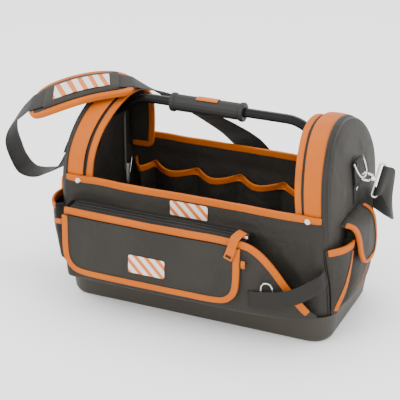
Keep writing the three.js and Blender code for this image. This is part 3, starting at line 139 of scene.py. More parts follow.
def dress(node, material, smooth=35):
    """Gives a hard piece of the frame its finish, with flat faces and its real edges rounded a little."""
    solid = solids[node]
    solid.data.materials.clear()
    solid.data.materials.append(material)
    for polygon in solid.data.polygons:
        polygon.use_smooth = False
    weld = solid.modifiers.new("weld", "WELD")
    weld.merge_threshold = 0.00002
    edge = solid.modifiers.new("edge", "BEVEL")
    edge.width = 0.0006
    edge.segments = 2
    edge.limit_method = "ANGLE"
    edge.angle_limit = math.radians(smooth)
    edge.harden_normals = False


moulding = grained("moulded_base", (0.0240, 0.0200, 0.0145), (0.0370, 0.0310, 0.0230), 0.50, 900, 0.0002)
dress("base_tray", moulding)

# Cloth walls: a heavy woven polyester, coated inside, cut as front, back and two stiffened ends and sewn
# together along the corners. They are soft: the cloth has settled a little out of its cut shape.
firm_places = [
    (Vector((side * 0.235, 0, 0.252)), 0.030, 0.070) for side in (-1, 1)
] + [(Vector((side * 0.201, -0.126, 0.221)), 0.006, 0.030) for side in (-1, 1)] + [
    (Vector((-0.056, -0.170, 0.111)), 0.040, 0.075),
    (Vector((0, -0.125, 0.2025)), 0.036, 0.065),
]


def slouch(point):
    """How far the cloth has settled at a place, less by the base and by what is riveted to it."""
    wide = noise.noise_vector(point * 9) * 0.0017
    close = noise.noise_vector(point * 27 + Vector((7, 3, 1))) * 0.0007
    hold = min(1, max(0, (point.z - 0.054) / 0.06))
    for centre, near, far in firm_places:
        hold *= min(1, max(0, ((point - centre).length - near) / (far - near)))
    return (wide + close) * hold


def woven(name, dark, light, pitch, rough, sheen, crease=0.0016):
    """Plain weave: threads go over and under each other in turn, above slow creases in the cloth. Its colour follows
    the height of both, as painted shade between the threads and in the creases, over an uneven tone.
    """
    material = bpy.data.materials.new(name)
    tree, shader = shader_of(material)
    link = tree.links.new
    new = tree.nodes.new

    def maths(operation, first, second=None):
        node = new("ShaderNodeMath")
        node.operation = operation
        for socket, value in zip(node.inputs, (first, second)):
            if hasattr(value, "is_output"):
                link(value, socket)
            elif value is not None:
                socket.default_value = value
        return node.outputs[0]

    cloth_map = new("ShaderNodeUVMap")
    cloth_map.uv_map = "weave"
    split = new("ShaderNodeSeparateXYZ")
    link(cloth_map.outputs["UV"], split.inputs[0])
    warp = maths("SINE", maths("MULTIPLY", split.outputs["X"], math.pi / pitch))
    weft = maths("SINE", maths("MULTIPLY", split.outputs["Y"], math.pi / pitch))
    over = maths("GREATER_THAN", maths("MULTIPLY", warp, weft), 0.0)
    under = maths("SUBTRACT", 1.0, over)
    threads = maths(
        "ADD",
        maths("MULTIPLY", over, maths("ABSOLUTE", warp)),
        maths("MULTIPLY", under, maths("ABSOLUTE", weft)),
    )
    place = new("ShaderNodeTexCoord")
    slow = new("ShaderNodeTexNoise")
    slow.inputs["Scale"].default_value = 13
    slow.inputs["Detail"].default_value = 5
    slow.inputs["Distortion"].default_value = 0.6
    link(place.outputs["Object"], slow.inputs["Vector"])
    # Painted shade: the colour darkens where the threads dip and where the slow creases dip, over an uneven tone.
    shade = maths("ADD", maths("MULTIPLY", threads, 0.45), maths("MULTIPLY", slow.outputs["Fac"], 0.6))
    tint = new("ShaderNodeMix")
    tint.data_type = "RGBA"
    tint.inputs["A"].default_value = (*dark, 1)
    tint.inputs["B"].default_value = (*light, 1)
    link(shade, tint.inputs["Factor"])
    link(tint.outputs["Result"], shader.inputs["Base Color"])
    folds = new("ShaderNodeBump")
    folds.inputs["Strength"].default_value = 0.8
    folds.inputs["Distance"].default_value = crease
    link(slow.outputs["Fac"], folds.inputs["Height"])
    weave = new("ShaderNodeBump")
    weave.inputs["Strength"].default_value = 0.5
    weave.inputs["Distance"].default_value = pitch * 0.25
    link(threads, weave.inputs["Height"])
    link(folds.outputs["Normal"], weave.inputs["Normal"])
    link(weave.outputs["Normal"], shader.inputs["Normal"])
    shader.inputs["Roughness"].default_value = rough
    shader.inputs["Specular IOR Level"].default_value = 0.22
    shader.inputs["Sheen Weight"].default_value = sheen
    shader.inputs["Sheen Roughness"].default_value = 0.4
    return material


def rounded(node, crease, levels):
    """A solid's triangles merged into quads and rounded, except along its cut edges."""
    form = bmesh.new()
    form.from_mesh(solids[node].data)
    bmesh.ops.remove_doubles(form, verts=form.verts[:], dist=0.00002)
    bmesh.ops.join_triangles(
        form,
        faces=form.faces[:],
        angle_face_threshold=math.radians(45),
        angle_shape_threshold=math.radians(75),
    )
    held = form.edges.layers.float.new("crease_edge")
    for seam in form.edges:
        if len(seam.link_faces) == 2 and seam.calc_face_angle() > math.radians(55):
            seam[held] = crease
    blank = bpy.data.meshes.new(node)
    form.to_mesh(blank)
    form.free()
    body = bpy.data.objects.new(node + "_form", blank)
    bpy.context.collection.objects.link(body)
    subdivision = body.modifiers.new("rounding", "SUBSURF")
    subdivision.levels = levels
    subdivision.render_levels = levels
    done = bpy.data.meshes.new_from_object(body.evaluated_get(bpy.context.evaluated_depsgraph_get()))
    bpy.data.objects.remove(body)
    return done


def lay_weave(mesh):
    """Lays the threads along the piece, face by face, so that a weave keeps its size in metres."""
    cloth_map = mesh.uv_layers.new(name="weave")
    for face in mesh.polygons:
        facing = [abs(c) for c in face.normal]
        main = facing.index(max(facing))
        across, along = [(1, 2), (0, 2), (0, 1)][main]
        for corner in face.loop_indices:
            spot = mesh.vertices[mesh.loops[corner].vertex_index].co
            cloth_map.data[corner].uv = (spot[across], spot[along])


def folded(mesh, folds, outward):
    """Raises soft folds. Each runs from one point to another, with its half width and height."""
    for vertex in mesh.vertices:
        for start, end, half, height in folds:
            run = Vector(end) - Vector(start)
            share = (vertex.co - Vector(start)).dot(run) / run.length_squared
            near = Vector(start) + run * min(1, max(0, share))
            off = (vertex.co - near).length / half
            taper = math.sin(math.pi * min(0.98, max(0.02, share)))
            vertex.co += Vector(outward) * height * taper * math.exp(-off * off)


def sewn(name, node, material, crease=0.9, levels=2, folds=(), outward=(0, -1, 0)):
    """Makes one soft piece in the place of its plain solid."""
    mesh = rounded(node, crease, levels)
    folded(mesh, folds, outward)
    for vertex in mesh.vertices:
        vertex.co += slouch(vertex.co)
    mesh.update()
    lay_weave(mesh)
    mesh.materials.clear()
    mesh.materials.append(material)
    mesh.shade_smooth()
    piece = bpy.data.objects.new(name, mesh)
    bpy.context.collection.objects.link(piece)
    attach(piece, "bag")
    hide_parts(node)
    return piece


charcoal = woven("charcoal_cloth", (0.0080, 0.0070, 0.0054), (0.0310, 0.0270, 0.0212), 0.0011, 0.62, 0.02, 0.011)
front_folds = [
    ((-0.222, -0.121, 0.188), (0.218, -0.121, 0.184), 0.005, 0.0022),
    ((0.150, -0.121, 0.168), (0.226, -0.118, 0.092), 0.012, 0.0030),
    ((0.214, -0.120, 0.205), (0.222, -0.112, 0.085), 0.007, 0.0026),
    ((-0.205, -0.124, 0.215), (-0.120, -0.124, 0.196), 0.010, 0.0015),
]
front_wall = sewn("front_wall", "front_panel", charcoal, 0.9, 3, front_folds)
back_folds = [
    ((-0.200, 0.118, 0.190), (0.190, 0.118, 0.178), 0.010, 0.0018),
    ((-0.100, 0.118, 0.080), (0.060, 0.118, 0.130), 0.016, 0.0020),
]
back_wall = sewn("back_wall", "back_panel", charcoal, 0.9, 2, back_folds, (0, 1, 0))
end_folds = [
    ((0.238, -0.084, 0.245), (0.238, -0.092, 0.110), 0.008, 0.0022),
    ((0.238, -0.060, 0.290), (0.240, -0.074, 0.190), 0.010, 0.0018),
    ((0.238, 0.060, 0.290), (0.240, 0.082, 0.120), 0.011, 0.0020),
    ((0.240, 0.010, 0.225), (0.240, 0.050, 0.120), 0.014, 0.0018),
]
ends = {}
for side, word in ((1, "right"), (-1, "left")):
    turned = [
        ((side * a[0], a[1], a[2]), (side * b[0], b[1], b[2]), half, height)
        for a, b, half, height in end_folds
    ]
    ends[word] = sewn(
        "end_" + word, "end_shell_" + word, charcoal, 0.9, 2, turned, (side, 0, 0)
    )
    ends[word + "_flange"] = sewn("gusset_" + word, "flange_" + word, charcoal)

# Bound edges: every raw edge is folded into a narrow orange tape with a grosgrain rib. The tape is sewn
# through from both sides with one row of thread, close to its inner edge.
orange_tape = woven("orange_tape", (0.27, 0.056, 0.0), (0.56, 0.122, 0.0), 0.0008, 0.62, 0.0, 0.0006)
thread = grained("orange_thread", (0.27, 0.056, 0.0), (0.60, 0.140, 0.0), 0.55, 2200, 0.0001)
dark_thread = grained("dark_thread", (0.018, 0.018, 0.017), (0.042, 0.040, 0.037), 0.6, 2200, 0.0001)
bindings = {}
for name, node, levels in (
    ("front_binding", "front_top_binding", 3),
    ("back_binding", "back_top_binding", 3),
    ("arch_binding_right", "flange_binding_right", 2),
    ("arch_binding_left", "flange_binding_left", 2),
    ("inner_pocket_edge", "inner_pocket_binding", 2),
    ("slant_edge", "front_pocket_binding", 2),
    ("flap_edge", "flap_binding", 2),
    ("tool_edge_right", "tool_binding_right", 2),
    ("tool_edge_left", "tool_binding_left", 2),
    ("hanging_edge_right", "pocket_flap_binding_right", 2),
    ("hanging_edge_left", "pocket_flap_binding_left", 2),
):
    bindings[node] = sewn(name, node, orange_tape, 0.45, levels)


def stitch_tree():
    """Stitches along a line: the line is cut into steps, and each step carries one short thread."""
    tree = bpy.data.node_groups.new("stitch_row", "GeometryNodeTree")
    sockets = tree.interface
    sockets.new_socket("Line", in_out="INPUT", socket_type="NodeSocketGeometry")
    for name, value in (("Pitch", 0.004), ("Length", 0.0028), ("Thread", 0.0005), ("Height", 0.0005)):
        sockets.new_socket(name, in_out="INPUT", socket_type="NodeSocketFloat").default_value = value
    sockets.new_socket("Finish", in_out="INPUT", socket_type="NodeSocketMaterial")
    sockets.new_socket("Stitches", in_out="OUTPUT", socket_type="NodeSocketGeometry")
    new = tree.nodes.new
    link = tree.links.new
    given = new("NodeGroupInput")
    result = new("NodeGroupOutput")
    curve = new("GeometryNodeMeshToCurve")
    steps = new("GeometryNodeResampleCurve")
    steps.mode = "LENGTH"
    tangent = new("GeometryNodeInputTangent")
    aligned = new("FunctionNodeAlignRotationToVector")
    aligned.axis = "Z"
    stitch = new("GeometryNodeMeshUVSphere")
    stitch.inputs["Segments"].default_value = 6
    stitch.inputs["Rings"].default_value = 4
    stitch.inputs["Radius"].default_value = 0.5
    sizes = new("ShaderNodeCombineXYZ")
    placed = new("GeometryNodeInstanceOnPoints")
    real = new("GeometryNodeRealizeInstances")
    finish = new("GeometryNodeSetMaterial")
    link(given.outputs["Line"], curve.inputs["Mesh"])
    link(curve.outputs["Curve"], steps.inputs["Curve"])
    link(given.outputs["Pitch"], steps.inputs["Length"])
    link(tangent.outputs["Tangent"], aligned.inputs["Vector"])
    link(given.outputs["Thread"], sizes.inputs["X"])
    link(given.outputs["Height"], sizes.inputs["Y"])
    link(given.outputs["Length"], sizes.inputs["Z"])
    link(steps.outputs["Curve"], placed.inputs["Points"])
    link(stitch.outputs["Mesh"], placed.inputs["Instance"])
    link(aligned.outputs["Rotation"], placed.inputs["Rotation"])
    link(sizes.outputs["Vector"], placed.inputs["Scale"])
    link(placed.outputs["Instances"], real.inputs["Geometry"])
    link(real.outputs["Geometry"], finish.inputs["Geometry"])
    link(given.outputs["Finish"], finish.inputs["Material"])
    link(finish.outputs["Geometry"], result.inputs["Stitches"])
    return tree


stitch_row = stitch_tree()


def along_lines(name, lines, tree, material, sizes):
    """Runs a tree of nodes over a set of lines and keeps the plain mesh that it makes."""
    points = [spot for line in lines for spot in line]
    steps = []
    first = 0
    for line in lines:
        steps += [(first + i, first + i + 1) for i in range(len(line) - 1)]
        first += len(line)
    guide = bpy.data.meshes.new(name)
    guide.from_pydata(points, steps, [])
    carrier = bpy.data.objects.new(name + "_guide", guide)
    bpy.context.collection.objects.link(carrier)
    run = carrier.modifiers.new("run", "NODES")
    run.node_group = tree
    for item in tree.interface.items_tree:
        if item.in_out == "INPUT" and item.name in sizes:
            run[item.identifier] = sizes[item.name]
        if item.in_out == "INPUT" and item.name == "Finish":
            run[item.identifier] = material
    made = bpy.data.meshes.new_from_object(carrier.evaluated_get(bpy.context.evaluated_depsgraph_get()))
    bpy.data.objects.remove(carrier)
    made.materials.clear()
    made.materials.append(material)
    made.shade_smooth()
    piece = bpy.data.objects.new(name, made)
    bpy.context.collection.objects.link(piece)
    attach(piece, "bag")
    return piece


def on_cloth(piece, lines, lift):
    """Lays lines down on the nearest face of a piece, lifted a little off it."""
    skin = BVHTree.FromPolygons(
        [v.co for v in piece.data.vertices], [p.vertices for p in piece.data.polygons]
    )
    laid = []
    for line in lines:
        spots = [skin.find_nearest(Vector(spot)) for spot in line]
        laid.append([spot + normal * lift for spot, normal, _, _ in spots])
    return laid


def rows_on_tape(node, width, shares):
    """Finds the lines that run along a tape's faces, at given shares of its width."""
    form = bmesh.new()
    form.from_mesh(solids[node].data)
    bmesh.ops.remove_doubles(form, verts=form.verts[:], dist=0.00002)
    bmesh.ops.join_triangles(
        form,
        faces=form.faces[:],
        angle_face_threshold=math.radians(45),
        angle_shape_threshold=math.radians(75),
    )
    across = {}
    for edge in form.edges:
        if abs(edge.calc_length() - width) < 0.0003:
            for vertex in edge.verts:
                across.setdefault(vertex, edge)
    starts = set()
    for vertex, edge in across.items():
        narrow = min(e.calc_length() for e in vertex.link_edges)
        other = min(e.calc_length() for e in edge.other_vert(vertex).link_edges)
        if narrow <= other:
            starts.add(vertex)
    lines = []
    left = set(starts)
    while left:
        ends_first = sorted(left, key=lambda v: (sum(n in left for n in neighbours(v)), v.index))
        chain = [ends_first[0]]
        left.discard(chain[0])
        while True:
            nexts = [n for n in neighbours(chain[-1]) if n in left and across[n] != across[chain[-1]]]
            if not nexts:
                break
            nearest = min(nexts, key=lambda n: (n.co - chain[-1].co).length)
            chain.append(nearest)
            left.discard(nearest)
        if len(chain) > 2:
            for share in shares:
                lines.append([v.co.lerp(across[v].other_vert(v).co, share) for v in chain])
    form.free()
    return [dense(line) for line in lines]


def neighbours(vertex):
    return [edge.other_vert(vertex) for edge in vertex.link_edges]


def dense(line, step=0.004):
    """Adds points to a line, so that it can follow a rounded surface."""
    filled = [line[0].copy()]
    for start, end in zip(line, line[1:]):
        parts = max(1, round((end - start).length / step))
        filled += [start.lerp(end, k / parts) for k in range(1, parts + 1)]
    return filled


tape_rows = []
for node, width in (
    ("front_top_binding", 0.011),
    ("back_top_binding", 0.011),
    ("flange_binding_right", 0.011),
    ("flange_binding_left", 0.011),
    ("inner_pocket_binding", 0.011),
    ("front_pocket_binding", 0.011),
    ("flap_binding", 0.011),
    ("tool_binding_right", 0.011),
    ("tool_binding_left", 0.011),
    ("pocket_flap_binding_right", 0.010),
    ("pocket_flap_binding_left", 0.010),
):
    tape_rows += on_cloth(bindings[node], rows_on_tape(node, width, (0.2,)), 0.0001)
along_lines(
    "binding_stitches",
    tape_rows,
    stitch_row,
    thread,
    {"Pitch": 0.0042, "Length": 0.003, "Thread": 0.0006, "Height": 0.0006},
)


# Front pocket: a pouch of the same cloth with a slanting mouth, bound in tape. A dark zip closes the long
# pocket above it. A flap hangs over the pouch from under the zip.
pouch_folds = [
    ((0.118, -0.165, 0.150), (0.150, -0.162, 0.060), 0.011, 0.0020),
    ((-0.214, -0.150, 0.170), (-0.206, -0.158, 0.062), 0.008, 0.0018),
    ((0.190, -0.158, 0.120), (0.214, -0.150, 0.066), 0.009, 0.0016),
]
pouch = sewn("pouch", "front_pocket", charcoal, 0.9, 2, pouch_folds)
flap_folds = [
    ((-0.195, -0.168, 0.165), (-0.120, -0.168, 0.095), 0.014, 0.0012),
    ((0.020, -0.168, 0.166), (0.080, -0.168, 0.090), 0.016, 0.0010),
]
hanging_flap = sewn("hanging_flap", "front_flap", charcoal, 0.9, 3, flap_folds)
zip_cloth = woven("zip_cloth", (0.004, 0.004, 0.0037), (0.013, 0.012, 0.011), 0.0007, 0.66, 0.03, 0.0004)
zip_band = sewn("zip_band", "zip_tape", zip_cloth, 0.9, 2)

# Inner pockets: one long strip of cloth, sewn down to the back wall between six open pockets.
inner_row = sewn("inner_row", "inner_pocket_row", charcoal, 0.9, 2)

# End pockets: on each end an open tool pocket at the front, and a closed one under a hanging flap.
# All are of the same cloth, and stand off the end wall on narrow sides.
for side, word in ((1, "right"), (-1, "left")):
    out = (side, 0, 0)
    ends[word + "_tool"] = sewn(
        "tool_pouch_" + word,
        "tool_pocket_" + word,
        charcoal,
        0.9,
        2,
        [((side * 0.262, -0.118, 0.160), (side * 0.262, -0.080, 0.070), 0.012, 0.0018)],
        out,
    )
    ends[word + "_closed"] = sewn("closed_pouch_" + word, "flap_pocket_" + word, charcoal, 0.9, 2)
    ends[word + "_cover"] = sewn(
        "pouch_cover_" + word,
        "pocket_flap_" + word,
        charcoal,
        0.9,
        3,
        [((side * 0.270, -0.070, 0.190), (side * 0.272, 0.000, 0.132), 0.014, 0.0012)],
        out,
    )


# Webbing: flat woven polyester strips with a ribbed face and rounded selvedges. Each is laid afresh along
# the middle of its plain solid. The strap is charcoal. The bands round the two arches are orange.
def webbing(name, dark, light, column, pick, rough, sheen):
    """Ribs along the strip, each a line of slanting picks, with the slant turned from rib to rib. Their height also
    darkens the colour between them as painted shade, and a worn noise adds an uneven tone.
    """
    material = bpy.data.materials.new(name)
    tree, shader = shader_of(material)
    new = tree.nodes.new
    link = tree.links.new

    def maths(operation, first, second=None):
        node = new("ShaderNodeMath")
        node.operation = operation
        for socket, value in zip(node.inputs, (first, second)):
            if hasattr(value, "is_output"):
                link(value, socket)
            elif value is not None:
                socket.default_value = value
        return node.outputs[0]

    strip_map = new("ShaderNodeUVMap")
    strip_map.uv_map = "weave"
    split = new("ShaderNodeSeparateXYZ")
    link(strip_map.outputs["UV"], split.inputs[0])
    across = maths("MULTIPLY", split.outputs["X"], 1 / column)
    rib = maths("ABSOLUTE", maths("SINE", maths("MULTIPLY", across, math.pi)))
    slant = maths("PINGPONG", across, 1.0)
    along = maths("ADD", maths("MULTIPLY", split.outputs["Y"], 1 / pick), slant)
    picks = maths("ABSOLUTE", maths("SINE", maths("MULTIPLY", along, math.pi)))
    height = maths("ADD", maths("MULTIPLY", rib, 0.6), maths("MULTIPLY", picks, 0.4))
    place = new("ShaderNodeTexCoord")
    worn = new("ShaderNodeTexNoise")
    worn.inputs["Scale"].default_value = 24
    worn.inputs["Detail"].default_value = 4
    link(place.outputs["Object"], worn.inputs["Vector"])
    # Painted shade: the colour darkens where the ribs and picks dip. The worn noise is an uneven tone.
    shade = maths("ADD", maths("MULTIPLY", height, 0.6), maths("MULTIPLY", worn.outputs["Fac"], 0.4))
    tint = new("ShaderNodeMix")
    tint.data_type = "RGBA"
    tint.inputs["A"].default_value = (*dark, 1)
    tint.inputs["B"].default_value = (*light, 1)
    link(shade, tint.inputs["Factor"])
    link(tint.outputs["Result"], shader.inputs["Base Color"])
    relief = new("ShaderNodeBump")
    relief.inputs["Strength"].default_value = 0.7
    relief.inputs["Distance"].default_value = column * 0.2
    link(height, relief.inputs["Height"])
    link(relief.outputs["Normal"], shader.inputs["Normal"])
    shader.inputs["Roughness"].default_value = rough
    shader.inputs["Specular IOR Level"].default_value = 0.22
    shader.inputs["Sheen Weight"].default_value = sheen
    shader.inputs["Sheen Roughness"].default_value = 0.35
    return material


def strip_route(node, wide, thick):
    """The sections of a strip's solid in order, each with its middle, the way across it and the way out."""
    form = bmesh.new()
    form.from_mesh(solids[node].data)
    bmesh.ops.remove_doubles(form, verts=form.verts[:], dist=0.00002)
    cut_ends = []
    for edge in form.edges:
        sides = [
            sorted(side.calc_length() for side in face.edges) for face in edge.link_faces
        ]
        if abs(edge.calc_length() - math.hypot(wide, thick)) < 0.0001 and all(
            abs(side[0] - thick) < 0.0001 and abs(side[1] - wide) < 0.0001 for side in sides
        ):
            corners = {vertex for face in edge.link_faces for vertex in face.verts}
            beyond = {side.other_vert(vertex) for vertex in corners for side in vertex.link_edges}
            if len(beyond - corners) == 4:
                cut_ends.append(corners)
    section = min(cut_ends, key=lambda corners: sum(vertex.co.x for vertex in corners))
    used = set()
    route = []
    while len(section) == 4:
        used |= section
        corner = min(section, key=lambda vertex: vertex.index)
        _, near, far, _ = sorted(section, key=lambda vertex: (vertex.co - corner.co).length)
        middle = sum((vertex.co for vertex in section), Vector()) / 4
        across = (far.co - corner.co).normalized()
        outward = (near.co - corner.co).normalized()
        if route and across.dot(route[-1][1]) < 0:
            across.negate()
        if route and outward.dot(route[-1][2]) < 0:
            outward.negate()
        route.append((middle, across, outward))
        section = {edge.other_vert(vertex) for vertex in section for edge in vertex.link_edges} - used
    form.free()
    return route


def strip(name, node, wide, thick, material, dome=0.0, step=0.005):
    """Weaves a strip along the middle of its solid, with places between the solid's sections."""
    route = strip_route(node, wide, thick)
    rows = []
    for k in range(len(route) - 1):
        before, here, there, after = (route[min(len(route) - 1, max(0, k + i))] for i in (-1, 0, 1, 2))
        span = (there[0] - here[0]).length
        leaving = (there[0] - before[0]).normalized() * span
        arriving = (after[0] - here[0]).normalized() * span
        parts = max(1, round(span / step))
        for j in range(parts + (k == len(route) - 2)):
            t = j / parts
            middle = (
                here[0] * (2 * t**3 - 3 * t**2 + 1)
                + leaving * (t**3 - 2 * t**2 + t)
                + there[0] * (3 * t**2 - 2 * t**3)
                + arriving * (t**3 - t**2)
            )
            across = here[1].lerp(there[1], t).normalized()
            outward = here[2].lerp(there[2], t).normalized()
            rows.append((middle, across, outward))
    piece = woven_strip(name, rows, wide, thick, material, dome)
    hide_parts(node)
    return piece


def woven_strip(name, rows, wide, thick, material, dome=0.0):
    """Weaves a strip through rows of middle, way across and way out. Its selvedges are rounded."""
    half = 6
    shares = [math.sin(math.pi / 2 * i / half) for i in range(-half, half + 1)]
    loop = [(share, 1) for share in shares] + [(share, -1) for share in reversed(shares)]
    spots = []
    places = []
    run = 0
    for k, (middle, across, outward) in enumerate(rows):
        run += (middle - rows[k - 1][0]).length if k else 0
        for share, face in loop:
            rim = (1 - 0.7 * abs(share) ** 7) * (1 - dome * (share * share - 0.4))
            depth = face * rim * (thick / 2 - 0.0002)
            spots.append(middle + across * (share * (wide / 2 - 0.0002)) + outward * depth)
            places.append((share * wide / 2, run))
    size = len(loop)
    faces = [
        (k * size + i, k * size + (i + 1) % size, (k + 1) * size + (i + 1) % size, (k + 1) * size + i)
        for k in range(len(rows) - 1)
        for i in range(size)
    ]
    last = (len(rows) - 1) * size
    faces += [tuple(reversed(range(size))), tuple(range(last, last + size))]
    mesh = bpy.data.meshes.new(name)
    mesh.from_pydata(spots, [], faces)
    form = bmesh.new()
    form.from_mesh(mesh)
    bmesh.ops.recalc_face_normals(form, faces=form.faces[:])
    form.to_mesh(mesh)
    form.free()
    strip_map = mesh.uv_layers.new(name="weave")
    for corner in mesh.loops:
        strip_map.data[corner.index].uv = places[corner.vertex_index]
    mesh.materials.append(material)
    mesh.shade_smooth()
    piece = bpy.data.objects.new(name, mesh)
    bpy.context.collection.objects.link(piece)
    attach(piece, "bag")
    return piece


dark_webbing = webbing("dark_webbing", (0.0045, 0.0040, 0.0032), (0.0180, 0.0158, 0.0126), 0.0016, 0.0022, 0.62, 0.02)
orange_webbing = webbing("orange_webbing", (0.27, 0.056, 0.0), (0.56, 0.122, 0.0), 0.0017, 0.0024, 0.58, 0.0)
strap = strip("strap", "shoulder_strap", 0.050, 0.0022, dark_webbing)
sling = strip("sling", "side_sling", 0.029, 0.002, dark_webbing)
pull_tab = strip("pull_tab", "zip_pull", 0.015, 0.002, orange_webbing, 0.0, 0.003)
for side, word in ((1, "right"), (-1, "left")):
    ends[word + "_tab"] = strip("tab_" + word, "ring_tab_" + word, 0.036, 0.0018, dark_webbing)
    ends[word + "_band"] = strip(
        "arch_band_" + word, "band_" + word, 0.030, 0.0042, orange_webbing, 0.25
    )

# Shoulder pad: foam between two faces of cloth, bound round its edge, with a sleeve that the strap runs
# through. It is filled by letting the faces swell a little over the foam.
filling = {}


def filled(name, node, voxel, cap, material, slot):
    """Swells a plain solid as cloth over foam, and keeps every place within the cap of where it began."""
    body = bpy.data.objects.new(name + "_form", solids[node].data.copy())
    bpy.context.collection.objects.link(body)
    even = body.modifiers.new("even", "REMESH")
    even.mode = "VOXEL"
    even.voxel_size = voxel
    start = bpy.data.meshes.new_from_object(body.evaluated_get(bpy.context.evaluated_depsgraph_get()))
    bpy.data.objects.remove(body)
    stage_scene = bpy.context.scene
    skin = bpy.data.objects.new(name + "_skin", start.copy())
    bpy.context.collection.objects.link(skin)
    cloth = skin.modifiers.new("cloth", "CLOTH")
    cloth.settings.use_pressure = True
    cloth.settings.uniform_pressure_force = 4
    cloth.settings.effector_weights.gravity = 0
    cloth.settings.tension_stiffness = 12
    cloth.settings.bending_stiffness = 0.4
    cloth.settings.shrink_min = -0.03
    cloth.collision_settings.use_collision = False
    cloth.point_cache.frame_start = 1
    cloth.point_cache.frame_end = 20
    for moment in range(1, 21):
        stage_scene.frame_set(moment)
    swollen = bpy.data.meshes.new_from_object(
        skin.evaluated_get(bpy.context.evaluated_depsgraph_get())
    )
    for rest, moved in zip(start.vertices, swollen.vertices):
        shift = moved.co - rest.co
        rest.co += shift * min(1, cap / max(shift.length, 0.000001))
    bpy.data.objects.remove(skin)
    stage_scene.frame_set(1)
    finished = bpy.data.objects.new(name + "_smooth", start)
    bpy.context.collection.objects.link(finished)
    relaxed = finished.modifiers.new("relaxed", "SMOOTH")
    relaxed.factor = 0.5
    relaxed.iterations = 3
    subdivision = finished.modifiers.new("rounding", "SUBSURF")
    subdivision.levels = 1
    mesh = bpy.data.meshes.new_from_object(finished.evaluated_get(bpy.context.evaluated_depsgraph_get()))
    bpy.data.objects.remove(finished)
    lay_weave(mesh)
    mesh.materials.clear()
    mesh.materials.append(material)
    mesh.shade_smooth()
    piece = bpy.data.objects.new(name, mesh)
    bpy.context.collection.objects.link(piece)
    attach(piece, "bag")
    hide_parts(node)
    return piece


cushion = filled("cushion", "shoulder_pad", 0.0035, 0.0025, charcoal, "cloth")
sleeve = sewn("sleeve", "pad_sleeve", charcoal, 0.9, 2)
bindings["pad_binding"] = sewn("cushion_edge", "pad_binding", orange_tape, 0.45, 2)

# Handle: a bent steel tube with flattened feet, painted satin black. The grip is soft black rubber with two
# collars, and an orange strip of the same rubber is let into its top.
painted = grained("painted_steel", (0.0020, 0.0020, 0.0018), (0.0045, 0.0044, 0.0040), 0.32, 700, 0.00005)
rubber = grained("soft_rubber", (0.0075, 0.0073, 0.0065), (0.0135, 0.0130, 0.0115), 0.55, 1300, 0.00012)
orange_rubber = grained("orange_rubber", (0.40, 0.083, 0.0), (0.52, 0.112, 0.0), 0.5, 1300, 0.0001)
painted.node_tree.nodes["Principled BSDF"].inputs["Specular IOR Level"].default_value = 0.16
dress("handle_tube", painted)
dress("handle_grip", rubber)
dress("grip_inlay", orange_rubber)

# Fittings: rings, hooks, slider and studs of cast and drawn alloy under bright nickel, rubbed by use.
nickel = grained("nickel_plate", (0.52, 0.50, 0.47), (0.72, 0.70, 0.66), 0.24, 1500, 0.00004)
nickel.node_tree.nodes["Principled BSDF"].inputs["Metallic"].default_value = 1
for node in ("zip_slider", "tape_ring", "snap_right", "snap_left"):
    dress(node, nickel)
for word in ("right", "left"):
    for node in ("d_ring_", "hook_", "hook_gate_", "strap_ring_"):
        dress(node + word, nickel)


# Patches: pieces of coated cloth, off-white, with plain slanting stripes in orange printed on them.
def striped(name, base, stripe, across, along, width):
    """Off-white with slanting stripes, laid out by place."""
    material = bpy.data.materials.new(name)
    tree, shader = shader_of(material)
    place = tree.nodes.new("ShaderNodeTexCoord")
    split = tree.nodes.new("ShaderNodeSeparateXYZ")
    slant = tree.nodes.new("ShaderNodeMath")
    wave = tree.nodes.new("ShaderNodeMath")
    wave.operation = "PINGPONG"
    wave.inputs[1].default_value = width
    cut = tree.nodes.new("ShaderNodeMath")
    cut.operation = "GREATER_THAN"
    cut.inputs[1].default_value = width * 0.55
    tint = tree.nodes.new("ShaderNodeMix")
    tint.data_type = "RGBA"
    tint.inputs["A"].default_value = (*base, 1)
    tint.inputs["B"].default_value = (*stripe, 1)
    tree.links.new(place.outputs["Object"], split.inputs[0])
    tree.links.new(split.outputs[across], slant.inputs[0])
    tree.links.new(split.outputs[along], slant.inputs[1])
    tree.links.new(slant.outputs[0], wave.inputs[0])
    tree.links.new(wave.outputs[0], cut.inputs[0])
    tree.links.new(cut.outputs[0], tint.inputs["Factor"])
    tree.links.new(tint.outputs["Result"], shader.inputs["Base Color"])
    shader.inputs["Roughness"].default_value = 0.42
    return material


upright_print = striped("upright_print", (0.62, 0.60, 0.55), (0.55, 0.115, 0.0), "X", "Z", 0.010)
flat_print = striped("flat_print", (0.62, 0.60, 0.55), (0.55, 0.115, 0.0), "X", "Y", 0.012)
dress("label_front", upright_print)
dress("label_flap", upright_print)
dress("label_pad", flat_print)

# Tape down the rear edge of each tool pocket: it closes the pocket's side and slants forward to the base.
def laid_strip(name, piece, spots, wide, thick, lift, material):
    """Lays a strip on the face of a piece, from place to place."""
    skin = BVHTree.FromPolygons(
        [v.co for v in piece.data.vertices], [p.vertices for p in piece.data.polygons]
    )
    found = [skin.find_nearest(spot) for spot in dense([Vector(spot) for spot in spots])]
    rows = []
    for k, (middle, _, _, _) in enumerate(found):
        near = found[max(0, k - 2) : k + 3]
        outward = sum((hit[1] for hit in near), Vector()).normalized()
        run = near[-1][0] - near[0][0]
        rows.append((middle + outward * lift, run.cross(outward).normalized(), outward))
    return woven_strip(name, rows, wide, thick, material)


